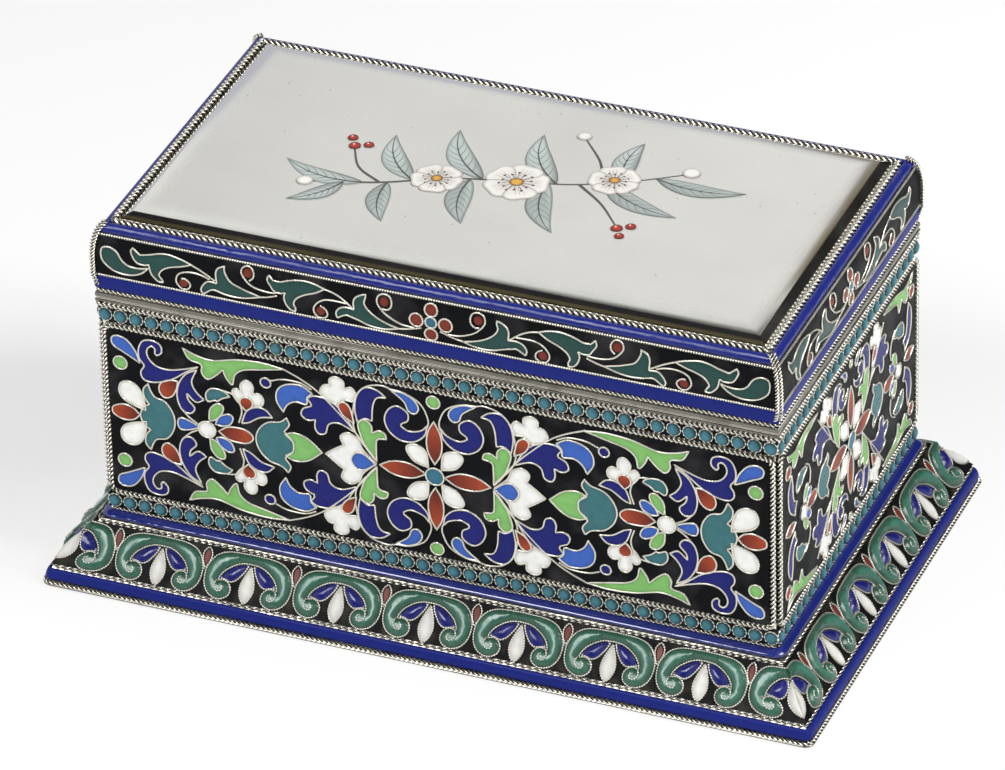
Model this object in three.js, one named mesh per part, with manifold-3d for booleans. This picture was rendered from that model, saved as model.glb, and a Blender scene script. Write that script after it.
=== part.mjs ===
// Hinged stamp box in silver and cloisonne enamel.
// Millimetres, +Z up, front towards -Y, origin in the middle of the underside.
import * as THREE from "three";
import { mergeVertices } from "three/addons/utils/BufferGeometryUtils.js";
import Module from "manifold-3d";

const wasm = await Module();
wasm.setup();

// Body: outer faces of the enamel panels, walls behind them
const BODY_LENGTH = 96;
const BODY_DEPTH = 53.7;
const PANEL_HEIGHT = 25.5;
const WALL = 1.2;
const SKIN = 0.6;
const RIM_HEIGHT = 0.5;
const BEAD = 2.1;
const BEAD_GROUND = 0.35;
const BEAD_RISE = 0.55;
const BEAD_SIDES = 6;
const BEAD_SPACING = 2.22;
const FRAME_INSET = 0.85;
const FRAME_CORNER = 1.2;

// Wires and the film of solder between pieces
const ROPE = 0.9;
const FINE_ROPE = 0.5;
const WIRE = 0.35;
const WIRE_SIDES = 6;
const SEAM = 0.02;

// Base: distances out from the body faces
const BASE_PLATE = 0.35;
const BASE_OUT = 6;
const RIM_LIP = 0.05;
const RIM_BEVEL = 0.1;
const RIM_STEPS = 4;
const PLATE_CORNER = 0.3;
const FOOT_OUT = 6.4;
const FOOT_ROPE = 0.35;
const FOOT_BAND = 1.45;
const FOOT_LEAN = 0.5;
const SKIRT_SHEET = 0.9;
const SKIRT_RISE = 5.95;
const FRIEZE_SKIN = 0.5;
const PALMETTE_SPACING = 12.9;
const PALMETTE_RISE = 0.4;
const LEAF_RISE = 0.25;
const PLINTH_OUT = 0.85;
const PLINTH_HEIGHT = 0.9;
const PLINTH_FOOT = 0.25;
const PLINTH_LIP = 0.2;
const PLINTH_STEPS = 5;

// Lid
const PARTING = 0.1;
const LIP_BAND = 0.5;
const LIP_SLOPE = 0.3;
const WAIST_IN = 0.8;
const RETURN_HEIGHT = 1.75;
const RETURN_IN = 0.35;
const SIDE_HEIGHT = 2.7;
const SHOULDER_RUN = 1.25;
const SHOULDER_RISE = 4.35;
const SHOULDER_STEPS = 6;
const RETURN_STEPS = 3;
const LID_SKIN = 0.5;
const UPPER_BAND = 1.15;
const LEDGE = 1.6;
const LEDGE_SHEET = 0.75;
const LID_LINING = 0.5;
const LID_ROPE = 0.6;
const TOP_ROPE = 0.9;
const PLAQUE_EDGE = 0.55;
const PLAQUE_RISE = 1.1;
const PLAQUE_ROLL = 3.2;
const PLAQUE_STEPS = 6;
const CORNER_ROPE = 0.55;
const CORNER_SPREAD = 0.58;
const CORNER_TRIM = 0.55;

// Gilt interior
const LINING = 0.6;
const LIP_HEIGHT = 2;
const LIP_CLEARANCE = 0.3;
const DIVIDER = 0.6;
const DIVIDER_DROP = 1;
const COMPARTMENTS = 3;
const RAMP_SHEET = 0.7;
const RAMP_FRONT_DROP = 24;
const RAMP_BACK_DROP = 6;
const RAMP_FLAT = 0.55;
const RAMP_STEPS = 6;

// Hinge
const HINGE_LENGTH = 64;
const HINGE_GAP = 0.3;
const KNUCKLES = 5;
const BARREL = 2.3;
const PIN = 1.1;
const PIN_CLEARANCE = 0.06;
const HINGE_STAND = 0.3;
const WEB = 0.38;
const HINGE_SIDES = 10;

const HALF_X = BODY_LENGTH / 2;
const HALF_Y = BODY_DEPTH / 2;
const QUARTER = Math.PI / 2;
const SIDES = [
  { name: "front", half: HALF_X, reach: HALF_Y, turn: 0 },
  { name: "right", half: HALF_Y, reach: HALF_X, turn: QUARTER },
  { name: "back", half: HALF_X, reach: HALF_Y, turn: 2 * QUARTER },
  { name: "left", half: HALF_Y, reach: HALF_X, turn: 3 * QUARTER },
];

// Surfaces
const SILVER = { color: 0xd6d2c6, metalness: 1, roughness: 0.28 };
const GILT = { color: 0xd8b060, metalness: 1, roughness: 0.3 };
const GROUND = { color: 0x191b24, metalness: 0, roughness: 0.25 };
const COBALT = { color: 0x232d8c, metalness: 0, roughness: 0.15 };
const TURQUOISE = { color: 0x418291, metalness: 0, roughness: 0.2 };
const GREEN = { color: 0x2d735f, metalness: 0, roughness: 0.2 };
const PEARL = { color: 0xdedcd4, metalness: 0.6, roughness: 0.2 };

function surface(points, faces) {
  const geometry = new THREE.BufferGeometry();
  geometry.setAttribute("position", new THREE.Float32BufferAttribute(points.flat(), 3));
  geometry.setIndex(faces.flat());
  return geometry;
}

function piece(parent, name, geometry, look) {
  const mesh = new THREE.Mesh(geometry, new THREE.MeshStandardMaterial(look));
  mesh.name = name;
  parent.add(mesh);
  return mesh;
}

// Closed bodies joined or cut
function solid(geometry) {
  const bare = geometry.clone();
  bare.deleteAttribute("normal");
  bare.deleteAttribute("uv");
  const merged = mergeVertices(bare, 1e-5);
  return new wasm.Manifold(new wasm.Mesh({
    numProp: 3,
    vertProperties: new Float32Array(merged.attributes.position.array),
    triVerts: new Uint32Array(merged.index.array),
  }));
}

function geometryOf(body) {
  const mesh = body.getMesh();
  const geometry = new THREE.BufferGeometry();
  geometry.setAttribute("position", new THREE.BufferAttribute(mesh.vertProperties, 3));
  geometry.setIndex(new THREE.BufferAttribute(mesh.triVerts, 1));
  return geometry;
}

// Skin of a section carried from station to station
function sweepFaces(count, size, closed) {
  const faces = [];
  const runs = closed ? count : count - 1;
  for (let s = 0; s < runs; s += 1) {
    const here = s * size;
    const next = ((s + 1) % count) * size;
    for (let i = 0; i < size; i += 1) {
      const j = (i + 1) % size;
      faces.push([here + i, next + i, next + j], [here + i, next + j, here + j]);
    }
  }
  return faces;
}

function triangles(outline) {
  const contour = outline.map(([x, y]) => new THREE.Vector2(x, y));
  return THREE.ShapeUtils.triangulateShape(contour, []);
}

// Section carried round a closed run of stations
function ring(stations, section) {
  const points = stations.flatMap((station) => section.map(([p, q]) => station(p, q)));
  return surface(points, sweepFaces(stations.length, section.length, true));
}

// Section carried along an open run of stations, capped at both ends
function run(stations, section) {
  const points = stations.flatMap((station) => section.map(([p, q]) => station(p, q)));
  const faces = sweepFaces(stations.length, section.length, false);
  const last = (stations.length - 1) * section.length;
  triangles(section).forEach(([a, b, c]) => {
    faces.push([a, b, c], [last + a, last + c, last + b]);
  });
  return surface(points, faces);
}

// Plate or cushion, lying flat or standing on a face: offsets and levels of its edge, closed at both ends
function slab(stations, edge) {
  const points = edge.flatMap(([out, z]) => stations.map((station) => station(out, z)));
  const size = stations.length;
  const faces = sweepFaces(edge.length, size, false).map(([a, b, c]) => [a, c, b]);
  const last = (edge.length - 1) * size;
  const foot = points.slice(0, size).map(([x, y, z]) => [x, y + z]);
  triangles(foot).forEach(([a, b, c]) => {
    faces.push([a, c, b], [last + a, last + b, last + c]);
  });
  return surface(points, faces);
}

// Sharp-cornered rectangle round the body, one station at each corner
function rectangleStations() {
  return [[-1, -1], [1, -1], [1, 1], [-1, 1]].map(([x, y]) => {
    return (out, z) => [x * (HALF_X + out), y * (HALF_Y + out), z];
  });
}

// Round-cornered rectangle whose corner arcs turn about points at the given offset
function roundStations(centre) {
  const corners = [[-1, -1], [1, -1], [1, 1], [-1, 1]];
  return corners.flatMap(([x, y], k) => {
    return Array.from({ length: RIM_STEPS + 1 }, (_, i) => {
      const angle = (k + 2 + i / RIM_STEPS) * QUARTER;
      return (out, z) => [
        x * (HALF_X + centre) + (out - centre) * Math.cos(angle),
        y * (HALF_Y + centre) + (out - centre) * Math.sin(angle),
        z,
      ];
    });
  });
}

// Two mitred ends of one side
function sideStations(side) {
  return [-1, 1].map((end) => {
    return (out, z) => [end * (side.half + out), -(side.reach + out), z];
  });
}

// Round-cornered loop lying on the face of one side
function frameStations(side, halfU, low, high, radius) {
  const corners = [[-1, -1], [1, -1], [1, 1], [-1, 1]];
  const middle = (low + high) / 2;
  const halfV = (high - low) / 2;
  return corners.flatMap(([u, v], k) => {
    return Array.from({ length: RIM_STEPS }, (_, i) => {
      const angle = (k + 2 + i / (RIM_STEPS - 1)) * QUARTER;
      return (p, q) => [
        u * (halfU - radius) + (radius + p) * Math.cos(angle),
        -(side.reach + q),
        middle + v * (halfV - radius) + (radius + p) * Math.sin(angle),
      ];
    });
  });
}

function circle(p, q, diameter) {
  return Array.from({ length: WIRE_SIDES }, (_, i) => {
    const angle = ((i + 0.5) / WIRE_SIDES) * 4 * QUARTER;
    return [p + (diameter / 2) * Math.cos(angle), q + (diameter / 2) * Math.sin(angle)];
  });
}

function ellipse(p, q, radiusP, radiusQ, from, to, steps) {
  return Array.from({ length: steps + 1 }, (_, i) => {
    const angle = from + ((to - from) * i) / steps;
    return [p + radiusP * Math.cos(angle), q + radiusQ * Math.sin(angle)];
  });
}

// Polylines in (out, z), read upwards with their outer side on the right
function lengths(line) {
  const sums = [0];
  for (let i = 1; i < line.length; i += 1) {
    sums.push(sums[i - 1] + Math.hypot(line[i][0] - line[i - 1][0], line[i][1] - line[i - 1][1]));
  }
  return sums;
}

function pointAt(line, distance) {
  const sums = lengths(line);
  let i = 1;
  while (i < line.length - 1 && sums[i] < distance) {
    i += 1;
  }
  const t = (distance - sums[i - 1]) / (sums[i] - sums[i - 1]);
  return [
    line[i - 1][0] + t * (line[i][0] - line[i - 1][0]),
    line[i - 1][1] + t * (line[i][1] - line[i - 1][1]),
  ];
}

function slice(line, from, to) {
  const sums = lengths(line);
  const inner = line.filter((_, i) => sums[i] > from + SEAM && sums[i] < to - SEAM);
  return [pointAt(line, from), ...inner, pointAt(line, to)];
}

function normal(a, b) {
  const size = Math.hypot(b[0] - a[0], b[1] - a[1]);
  return [(b[1] - a[1]) / size, -(b[0] - a[0]) / size];
}

function offset(line, distance) {
  return line.map((point, i) => {
    const before = normal(line[Math.max(i - 1, 0)], line[Math.max(i, 1)]);
    const after = normal(line[Math.min(i, line.length - 2)], line[Math.min(i + 1, line.length - 1)]);
    const scale = distance / (1 + before[0] * after[0] + before[1] * after[1]);
    return [point[0] + scale * (before[0] + after[0]), point[1] + scale * (before[1] + after[1])];
  });
}

// Strip of skin lying on a core line, and a wire lying on it
function strip(core, from, to, thickness) {
  const line = slice(core, from, to);
  return [...offset(line, SEAM + thickness), ...offset(line, SEAM).reverse()];
}

function wire(core, lane, width, diameter) {
  const [a, b] = slice(core, lane, lane + width);
  const [p, q] = normal(a, b);
  const stand = SEAM + diameter / 2;
  return circle((a[0] + b[0]) / 2 + p * stand, (a[1] + b[1]) / 2 + q * stand, diameter);
}

// Ring of skin round the box whose face carries raised shapes. Its face runs from corner to corner (t)
// and from edge to edge (s). Open shapes end at a corner and go on round it, shut ones stand free,
// and pointed ones rise to one tip.
function embossedRing(at, skin, pattern) {
  const corners = [];
  SIDES.forEach((side) => {
    const turn = new THREE.Matrix4().makeRotationZ(side.turn);
    const put = ([t, s], h) => at(side, t, s, h).applyMatrix4(turn).toArray();
    const laid = ([t, s]) => [at(side, t, s, 0).x, s];
    const quad = (a, b, c, d) => corners.push(a, b, c, a, c, d);
    const { right, left, open, shut } = pattern(side);
    const contour = [[-1, 0], [1, 0], ...right, [1, 1], [-1, 1], ...left];
    const holes = shut.map(({ outline }) => outline);
    const all = [contour, ...holes].flat();
    const [edge, ...gaps] = [contour, ...holes].map((line) => line.map((p) => new THREE.Vector2(...laid(p))));
    THREE.ShapeUtils.triangulateShape(edge, gaps).forEach((face) => {
      corners.push(...face.map((i) => put(all[i], 0)));
    });
    [...open, ...shut].forEach(({ outline, rise, tip }) => {
      const last = open.some((shape) => shape.outline === outline) ? outline.length - 1 : outline.length;
      for (let i = 0; i < last; i += 1) {
        const [a, b] = [outline[i], outline[(i + 1) % outline.length]];
        if (tip) {
          corners.push(put(a, 0), put(b, 0), put(tip, rise));
        } else {
          quad(put(a, 0), put(b, 0), put(b, rise), put(a, rise));
        }
      }
      if (!tip) {
        const cap = triangles(outline.map(laid));
        cap.forEach((face) => corners.push(...face.map((i) => put(outline[i], rise))));
      }
    });
    const [a, b, c, d] = [[-1, 0], [1, 0], [1, 1], [-1, 1]];
    quad(put(a, -skin), put(b, -skin), put(b, 0), put(a, 0));
    quad(put(d, 0), put(c, 0), put(c, -skin), put(d, -skin));
    quad(put(d, -skin), put(c, -skin), put(b, -skin), put(a, -skin));
  });
  return mergeVertices(surface(corners, [corners.map((_, i) => i)]), 1e-5);
}

const box = new THREE.Group();
box.name = "box";
const lid = new THREE.Group();
lid.name = "lid";
const around = rectangleStations();
const rimCentre = BASE_OUT - PLATE_CORNER;
const rimAround = roundStations(rimCentre);

function sideGroup(parent, side) {
  const group = new THREE.Group();
  group.rotation.z = side.turn;
  parent.add(group);
  return group;
}

// Base plate and foot
piece(box, "base_plate", slab(rimAround, [[BASE_OUT, 0], [BASE_OUT, BASE_PLATE]]), SILVER);
const footRopeOut = rimCentre + Math.SQRT2 * (FOOT_OUT - rimCentre) + FOOT_ROPE / 2 + SEAM;
const rimOut = footRopeOut + FOOT_ROPE / 2 + RIM_LIP;
const rimSection = [
  [BASE_OUT + SEAM, 0],
  [rimOut - RIM_BEVEL, 0],
  [rimOut, RIM_BEVEL],
  [rimOut, BASE_PLATE - RIM_BEVEL],
  [rimOut - RIM_BEVEL, BASE_PLATE],
  [BASE_OUT + SEAM, BASE_PLATE],
];
piece(box, "foot_rim", ring(rimAround, rimSection), SILVER);
const footRope = circle(footRopeOut, BASE_PLATE + SEAM + FOOT_ROPE / 2, FOOT_ROPE);
piece(box, "foot_rope", ring(rimAround, footRope), SILVER);

// Skirt: foot, leaning blue band, slope, ledge that carries the plinth
const bandFootZ = BASE_PLATE + FOOT_ROPE + 2 * SEAM;
const bandTop = [FOOT_OUT - FOOT_LEAN, bandFootZ + FOOT_BAND];
const ledgeOut = PLINTH_OUT - PLINTH_LIP;
const slopeTop = [ledgeOut, bandTop[1] + SKIRT_RISE];
const ledgeZ = slopeTop[1] + FINE_ROPE / 2;
const bandLine = [[FOOT_OUT, bandFootZ], bandTop];
const slope = [bandTop, slopeTop];
const slopeLength = lengths(slope)[1];
const wallFace = -SKIN;
const slopeNormal = normal(bandTop, slopeTop);
const sheet = SKIRT_SHEET / slopeNormal[1];
const skirtFall = (slopeTop[1] - bandTop[1]) / (bandTop[0] - slopeTop[0]);
const innerFootOut = FOOT_OUT - FOOT_LEAN - SKIRT_SHEET;
const skirtSection = [
  [innerFootOut, BASE_PLATE + SEAM],
  [FOOT_OUT, BASE_PLATE + SEAM],
  [FOOT_OUT, bandFootZ],
  bandTop,
  slopeTop,
  [ledgeOut, ledgeZ],
  [wallFace + SEAM, ledgeZ],
  [wallFace + SEAM, slopeTop[1] + (slopeTop[0] - wallFace) * skirtFall - 2 * sheet],
  [innerFootOut, bandTop[1] + (bandTop[0] - innerFootOut) * skirtFall - sheet],
];
const ropeLane = FINE_ROPE + 2 * SEAM;
const footBand = strip(bandLine, 0, lengths(bandLine)[1], FRIEZE_SKIN);
const topLaneStart = slopeLength - ropeLane;
piece(box, "foot_blue_band", ring(around, footBand), COBALT);
piece(box, "skirt_bottom_rope", ring(around, wire(slope, 0, ropeLane, FINE_ROPE)), SILVER);
piece(box, "skirt_top_rope", ring(around, wire(slope, topLaneStart, ropeLane, FINE_ROPE)), SILVER);

// Palmette border: x in half spacings from the middle of a palmette, y across the frieze from foot to top.
// Scroll and drop are right halves, read from foot to top round their outer side.
const SCROLL = [
  [0, 0.79], [0.24, 0.74], [0.48, 0.6], [0.57, 0.4], [0.36, 0.36], [0.31, 0.17],
  [0.56, 0.03], [0.84, 0.12], [0.96, 0.45], [0.83, 0.78], [0.49, 0.95], [0, 0.97],
];
const DROP = [[0, 0.03], [0.1, 0.16], [0.12, 0.42], [0, 0.74]];
const LEAF = [[0.24, 0.36], [0.47, 0.44], [0.38, 0.6], [0.13, 0.7]];
const BUD = [[1, 0.55], [1.07, 0.8], [1, 0.94], [0.93, 0.8]];
const flip = (path) => path.map(([x, y]) => [-x, y]).reverse();
const whole = (half) => [...half, ...flip(half).slice(1, -1)];
const friezeEdge = offset(slice(slope, ropeLane, topLaneStart), SEAM + FRIEZE_SKIN);
const friezeMiddle = (friezeEdge[0][0] + friezeEdge[1][0]) / 2;
const palmetteCount = (side) => Math.round((2 * (side.half + friezeMiddle)) / PALMETTE_SPACING);

// The palmettes stand upright along a side, and the corner ones fold over the hip, half on each side of it
function onFrieze(side, t, s, h) {
  const out = friezeEdge[0][0] + s * (friezeEdge[1][0] - friezeEdge[0][0]) + h * slopeNormal[0];
  const z = friezeEdge[0][1] + s * (friezeEdge[1][1] - friezeEdge[0][1]) + h * slopeNormal[1];
  const count = palmetteCount(side);
  const run = Math.min(Math.abs(t), 1 - 1 / count) * (side.half + friezeMiddle);
  const fold = Math.max(count * (Math.abs(t) - 1) + 1, 0);
  const x = run + fold * (side.half + out - run);
  return new THREE.Vector3(Math.sign(t) * x, -(side.reach + out), z);
}

function palmettes(side) {
  const count = palmetteCount(side);
  const put = (path, i) => path.map(([x, y]) => [-1 + (2 * i + x) / count, y]);
  const inner = Array.from({ length: count - 1 }, (_, i) => i + 1);
  const first = [DROP, SCROLL].map((path) => put(path, 0));
  const last = [DROP, SCROLL].map((path) => put(flip(path), count));
  const scrolls = inner.flatMap((i) => [put(whole(SCROLL), i), put(whole(DROP), i)]);
  const leaves = [put(LEAF, 0), put(flip(LEAF), count), put(BUD, 0)];
  leaves.push(...inner.flatMap((i) => [put(LEAF, i), put(flip(LEAF), i), put(BUD, i)]));
  return {
    right: last.flatMap((path) => [...path].reverse()),
    left: [...first].reverse().flatMap((path) => [...path].reverse()),
    open: [...first, ...last].map((outline) => ({ outline, rise: PALMETTE_RISE })),
    shut: [
      ...scrolls.map((outline) => ({ outline, rise: PALMETTE_RISE })),
      ...leaves.map((outline) => ({ outline, rise: LEAF_RISE })),
    ],
  };
}
piece(box, "palmette_frieze", embossedRing(onFrieze, FRIEZE_SKIN, palmettes), GREEN);

// Round plinth moulding at the foot of the walls
const plinthZ = ledgeZ + SEAM;
const plinthTop = plinthZ + PLINTH_HEIGHT;
const plinthIn = wallFace + SEAM;
const plinthRun = PLINTH_OUT - plinthIn;
const plinthRound = PLINTH_HEIGHT - PLINTH_FOOT;
const plinthCurve = ellipse(plinthIn, plinthZ + PLINTH_FOOT, plinthRun, plinthRound, 0, QUARTER, PLINTH_STEPS);
const plinthSection = [[plinthIn, plinthZ], [PLINTH_OUT - PLINTH_FOOT, plinthZ], ...plinthCurve];
piece(box, "plinth_blue_band", ring(around, plinthSection), COBALT);

// Lanes up the wall face: rope, beads, rope, panel, rope, beads, rope
const wideLane = ROPE + 2 * SEAM;
const beadLane = BEAD + 2 * SEAM;
const lowerBeads = plinthTop + ropeLane;
const panelRope = lowerBeads + beadLane;
const panelLow = panelRope + wideLane;
const panelHigh = panelLow + PANEL_HEIGHT;
const upperBeads = panelHigh + wideLane;
const rimRope = upperBeads + beadLane;
const rimZ = rimRope + wideLane;
const bodyTop = rimZ + RIM_HEIGHT;
const face = [[wallFace, plinthTop], [wallFace, rimZ]];
const lane = (z) => z - plinthTop;
piece(box, "plinth_rope", ring(around, wire(face, lane(plinthTop), ropeLane, FINE_ROPE)), SILVER);

// Rows of enamel beads standing on a thin ground
function beadBand(low) {
  const onBand = (side, t, s, h) => {
    const out = wallFace + SEAM + BEAD_GROUND + h;
    return new THREE.Vector3(t * (side.half + out), -(side.reach + out), low + SEAM + s * BEAD);
  };
  const beads = (side) => {
    const count = Math.round((2 * side.half) / BEAD_SPACING);
    const radius = BEAD / 2 - SEAM;
    const shut = Array.from({ length: count }, (_, i) => {
      const tip = [-1 + (2 * i + 1) / count, 0.5];
      const outline = ellipse(tip[0], tip[1], radius / side.half, radius / BEAD, 0, 4 * QUARTER, BEAD_SIDES);
      return { outline: outline.slice(0, -1), rise: BEAD_RISE, tip };
    });
    return { right: [], left: [], open: [], shut };
  };
  return embossedRing(onBand, BEAD_GROUND, beads);
}
piece(box, "lower_bead_band", beadBand(lowerBeads), TURQUOISE);
piece(box, "upper_bead_band", beadBand(upperBeads), TURQUOISE);
piece(box, "body_top_rope", ring(around, wire(face, lane(rimRope), wideLane, ROPE)), SILVER);

// Walls with a turned-out rim, their enamel panels and rope frames, and the gilt lining
const wallBack = wallFace - WALL;
const liningFace = wallBack - SEAM;
const liningBack = liningFace - LINING;
const liningTop = bodyTop + LIP_HEIGHT;
const wallSection = [
  [wallBack, BASE_PLATE + SEAM],
  [wallFace, BASE_PLATE + SEAM],
  [wallFace, rimZ],
  [0, rimZ],
  [0, bodyTop],
  [wallBack, bodyTop],
];
const liningSection = [
  [liningBack, BASE_PLATE + SEAM],
  [liningFace, BASE_PLATE + SEAM],
  [liningFace, liningTop - LINING / 2],
  [liningFace - LINING / 2, liningTop],
  [liningBack, liningTop],
];
SIDES.forEach((side) => {
  const group = sideGroup(box, side);
  const ends = sideStations(side);
  piece(group, `skirt_${side.name}`, run(ends, skirtSection), SILVER);
  piece(group, `wall_${side.name}`, run(ends, wallSection), SILVER);
  piece(group, `lining_${side.name}`, run(ends, liningSection), GILT);
  const ropeHalf = side.half - FRAME_INSET;
  const halfLane = wideLane / 2;
  const frame = frameStations(side, ropeHalf, panelLow - halfLane, panelHigh + halfLane, FRAME_CORNER);
  piece(group, `rope_frame_${side.name}`, ring(frame, circle(0, wallFace + SEAM + ROPE / 2, ROPE)), SILVER);
  const plate = slab(frame, [[-halfLane, wallFace + SEAM], [-halfLane, 0]]);
  piece(group, `panel_${side.name}`, plate, GROUND);
});

// Stamp compartments: dividers and curved ramps, drawn in the (y, z) plane and drawn out along X
const alongX = new THREE.Matrix4().makeBasis(
  new THREE.Vector3(0, 1, 0), new THREE.Vector3(0, 0, 1), new THREE.Vector3(1, 0, 0));
function drawnAlongX(outline, from, to, holes = []) {
  const shape = new THREE.Shape(outline);
  shape.holes = holes;
  const geometry = new THREE.ExtrudeGeometry(shape, { depth: to - from, steps: 1, bevelEnabled: false });
  return geometry.applyMatrix4(alongX).translate(from, 0, 0);
}
const insideX = HALF_X + liningBack - SEAM;
const insideY = HALF_Y + liningBack - SEAM;
const bay = (2 * insideX - (COMPARTMENTS - 1) * DIVIDER) / COMPARTMENTS;
const dividerTop = bodyTop - DIVIDER_DROP;
const dividerOutline = [
  new THREE.Vector2(-insideY, BASE_PLATE + SEAM),
  new THREE.Vector2(insideY, BASE_PLATE + SEAM),
  new THREE.Vector2(insideY, dividerTop),
  new THREE.Vector2(-insideY, dividerTop),
];
const rampCurve = new THREE.QuadraticBezierCurve(
  new THREE.Vector2(-insideY, bodyTop - RAMP_FRONT_DROP),
  new THREE.Vector2(-insideY + 2 * insideY * RAMP_FLAT, bodyTop - RAMP_FRONT_DROP),
  new THREE.Vector2(insideY, bodyTop - RAMP_BACK_DROP));
const rampTop = rampCurve.getPoints(RAMP_STEPS);
const rampUnder = rampTop.map((p) => new THREE.Vector2(p.x, p.y - RAMP_SHEET)).reverse();
for (let i = 0; i < COMPARTMENTS; i += 1) {
  const left = -insideX + i * (bay + DIVIDER);
  const ramp = drawnAlongX([...rampUnder, ...rampTop], left + SEAM, left + bay - SEAM);
  piece(box, `stamp_ramp_${i + 1}`, ramp, GILT);
  if (i < COMPARTMENTS - 1) {
    piece(box, `divider_${i + 1}`, drawnAlongX(dividerOutline, left + bay, left + bay + DIVIDER), GILT);
  }
}

// Lid walls: lip band, waist under the edge rope, return, side, rounded shoulder, ledge
const lidZ = bodyTop + PARTING;
const waistZ = lidZ + LIP_BAND + LIP_SLOPE;
const returnZ = waistZ + LID_ROPE + LID_SKIN / 2;
const sideZ = returnZ + RETURN_HEIGHT;
const shoulderZ = sideZ + SIDE_HEIGHT;
const coreOut = -LID_SKIN;
const shoulderIn = coreOut - SHOULDER_RUN;
const ledgeTop = shoulderZ + SHOULDER_RISE;
const topLane = TOP_ROPE + 2 * SEAM;
const shoulder = ellipse(shoulderIn, shoulderZ, SHOULDER_RUN, SHOULDER_RISE, 0, QUARTER, SHOULDER_STEPS);
const lidReturn = Array.from({ length: RETURN_STEPS }, (_, i) => {
  const t = 1 - i / RETURN_STEPS;
  return [coreOut - RETURN_IN * t * t, sideZ - RETURN_HEIGHT * t];
});
const lidCore = [
  [-WAIST_IN, waistZ],
  ...lidReturn,
  [coreOut, sideZ],
  ...shoulder,
  [shoulderIn - topLane, ledgeTop],
];
const lidFace = wallBack + LIP_CLEARANCE;
const plaqueIn = shoulderIn - topLane - SEAM;
const ledgeIn = plaqueIn - LEDGE;
const ledgeUnder = ledgeTop - LEDGE_SHEET;
const lidSection = [
  [lidFace, lidZ],
  [-SEAM, lidZ],
  [-SEAM, lidZ + LIP_BAND],
  ...lidCore,
  [ledgeIn, ledgeTop],
  [ledgeIn, ledgeUnder],
  [lidFace - LEDGE_SHEET, ledgeUnder],
  [lidFace, ledgeUnder - 2 * LEDGE_SHEET],
];
SIDES.forEach((side) => {
  piece(sideGroup(lid, side), `lid_wall_${side.name}`, run(sideStations(side), lidSection), SILVER);
});

// Lanes up the lid: edge rope, band, wire, frieze, wire, band, top rope
const lidSums = lengths(lidCore);
const coreEnd = lidSums[lidSums.length - 1];
const lowerBand = lidSums[1];
const lowerWire = lidSums[1 + RETURN_STEPS];
const lidWireLane = WIRE + 2 * SEAM;
const lidFrieze = lowerWire + lidWireLane;
const upperBand = coreEnd - topLane - UPPER_BAND;
const upperWire = upperBand - lidWireLane;
piece(lid, "lid_edge_rope", ring(around, wire(lidCore, 0, LID_ROPE, LID_ROPE - 2 * SEAM)), SILVER);
const onLid = (from, to) => ring(around, strip(lidCore, from, to, LID_SKIN));
piece(lid, "lid_lower_blue_band", onLid(lowerBand, lowerWire), COBALT);
piece(lid, "lid_lower_wire", onLid(lowerWire + SEAM, lidFrieze - SEAM), SILVER);
piece(lid, "lid_frieze", onLid(lidFrieze, upperWire), GROUND);
piece(lid, "lid_upper_wire", onLid(upperWire + SEAM, upperBand - SEAM), SILVER);
piece(lid, "lid_upper_blue_band", onLid(upperBand, coreEnd - topLane), COBALT);
piece(lid, "lid_top_rope", ring(around, wire(lidCore, coreEnd - topLane, topLane, TOP_ROPE)), SILVER);

// Two ropes side by side over each corner of the lid
const cornerStand = 2 * SEAM + LID_SKIN + CORNER_ROPE / 2;
const cornerCore = slice(lidCore, lowerBand + CORNER_TRIM, coreEnd - topLane - CORNER_TRIM);
const cornerLine = offset(cornerCore, cornerStand);
function cornerRope(side, end) {
  const path = cornerLine.map(([out, z]) => {
    return new THREE.Vector3(end * (side.half + out - CORNER_SPREAD * CORNER_ROPE), -(side.reach + out), z);
  });
  const shape = new THREE.Shape(circle(0, 0, CORNER_ROPE).map(([x, y]) => new THREE.Vector2(x, y)));
  const curve = new THREE.CatmullRomCurve3(path);
  const rope = new THREE.ExtrudeGeometry(shape, { steps: cornerLine.length, extrudePath: curve });
  return solid(rope.applyMatrix4(new THREE.Matrix4().makeRotationZ(side.turn)));
}
SIDES.forEach((side, k) => {
  const next = SIDES[(k + 1) % SIDES.length];
  const pair = cornerRope(side, 1).add(cornerRope(next, -1));
  piece(lid, `lid_corner_rope_${side.name}_${next.name}`, geometryOf(pair), SILVER);
});

// Cushion plaque on the ledge and the gilt plate under it
const plaqueZ = ledgeTop + SEAM;
const plaqueRoll = ellipse(
  plaqueIn - PLAQUE_ROLL, plaqueZ + PLAQUE_EDGE, PLAQUE_ROLL, PLAQUE_RISE, 0, QUARTER, PLAQUE_STEPS);
piece(lid, "lid_plaque", slab(around, [[plaqueIn, plaqueZ], ...plaqueRoll]), PEARL);
const lidLiningOut = lidFace - LEDGE_SHEET - SEAM;
const lidLiningZ = ledgeUnder - SEAM - LID_LINING;
const lidLiningEdge = [[lidLiningOut, lidLiningZ], [lidLiningOut, lidLiningZ + LID_LINING]];
piece(lid, "lid_lining_plate", slab(around, lidLiningEdge), GILT);

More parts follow.
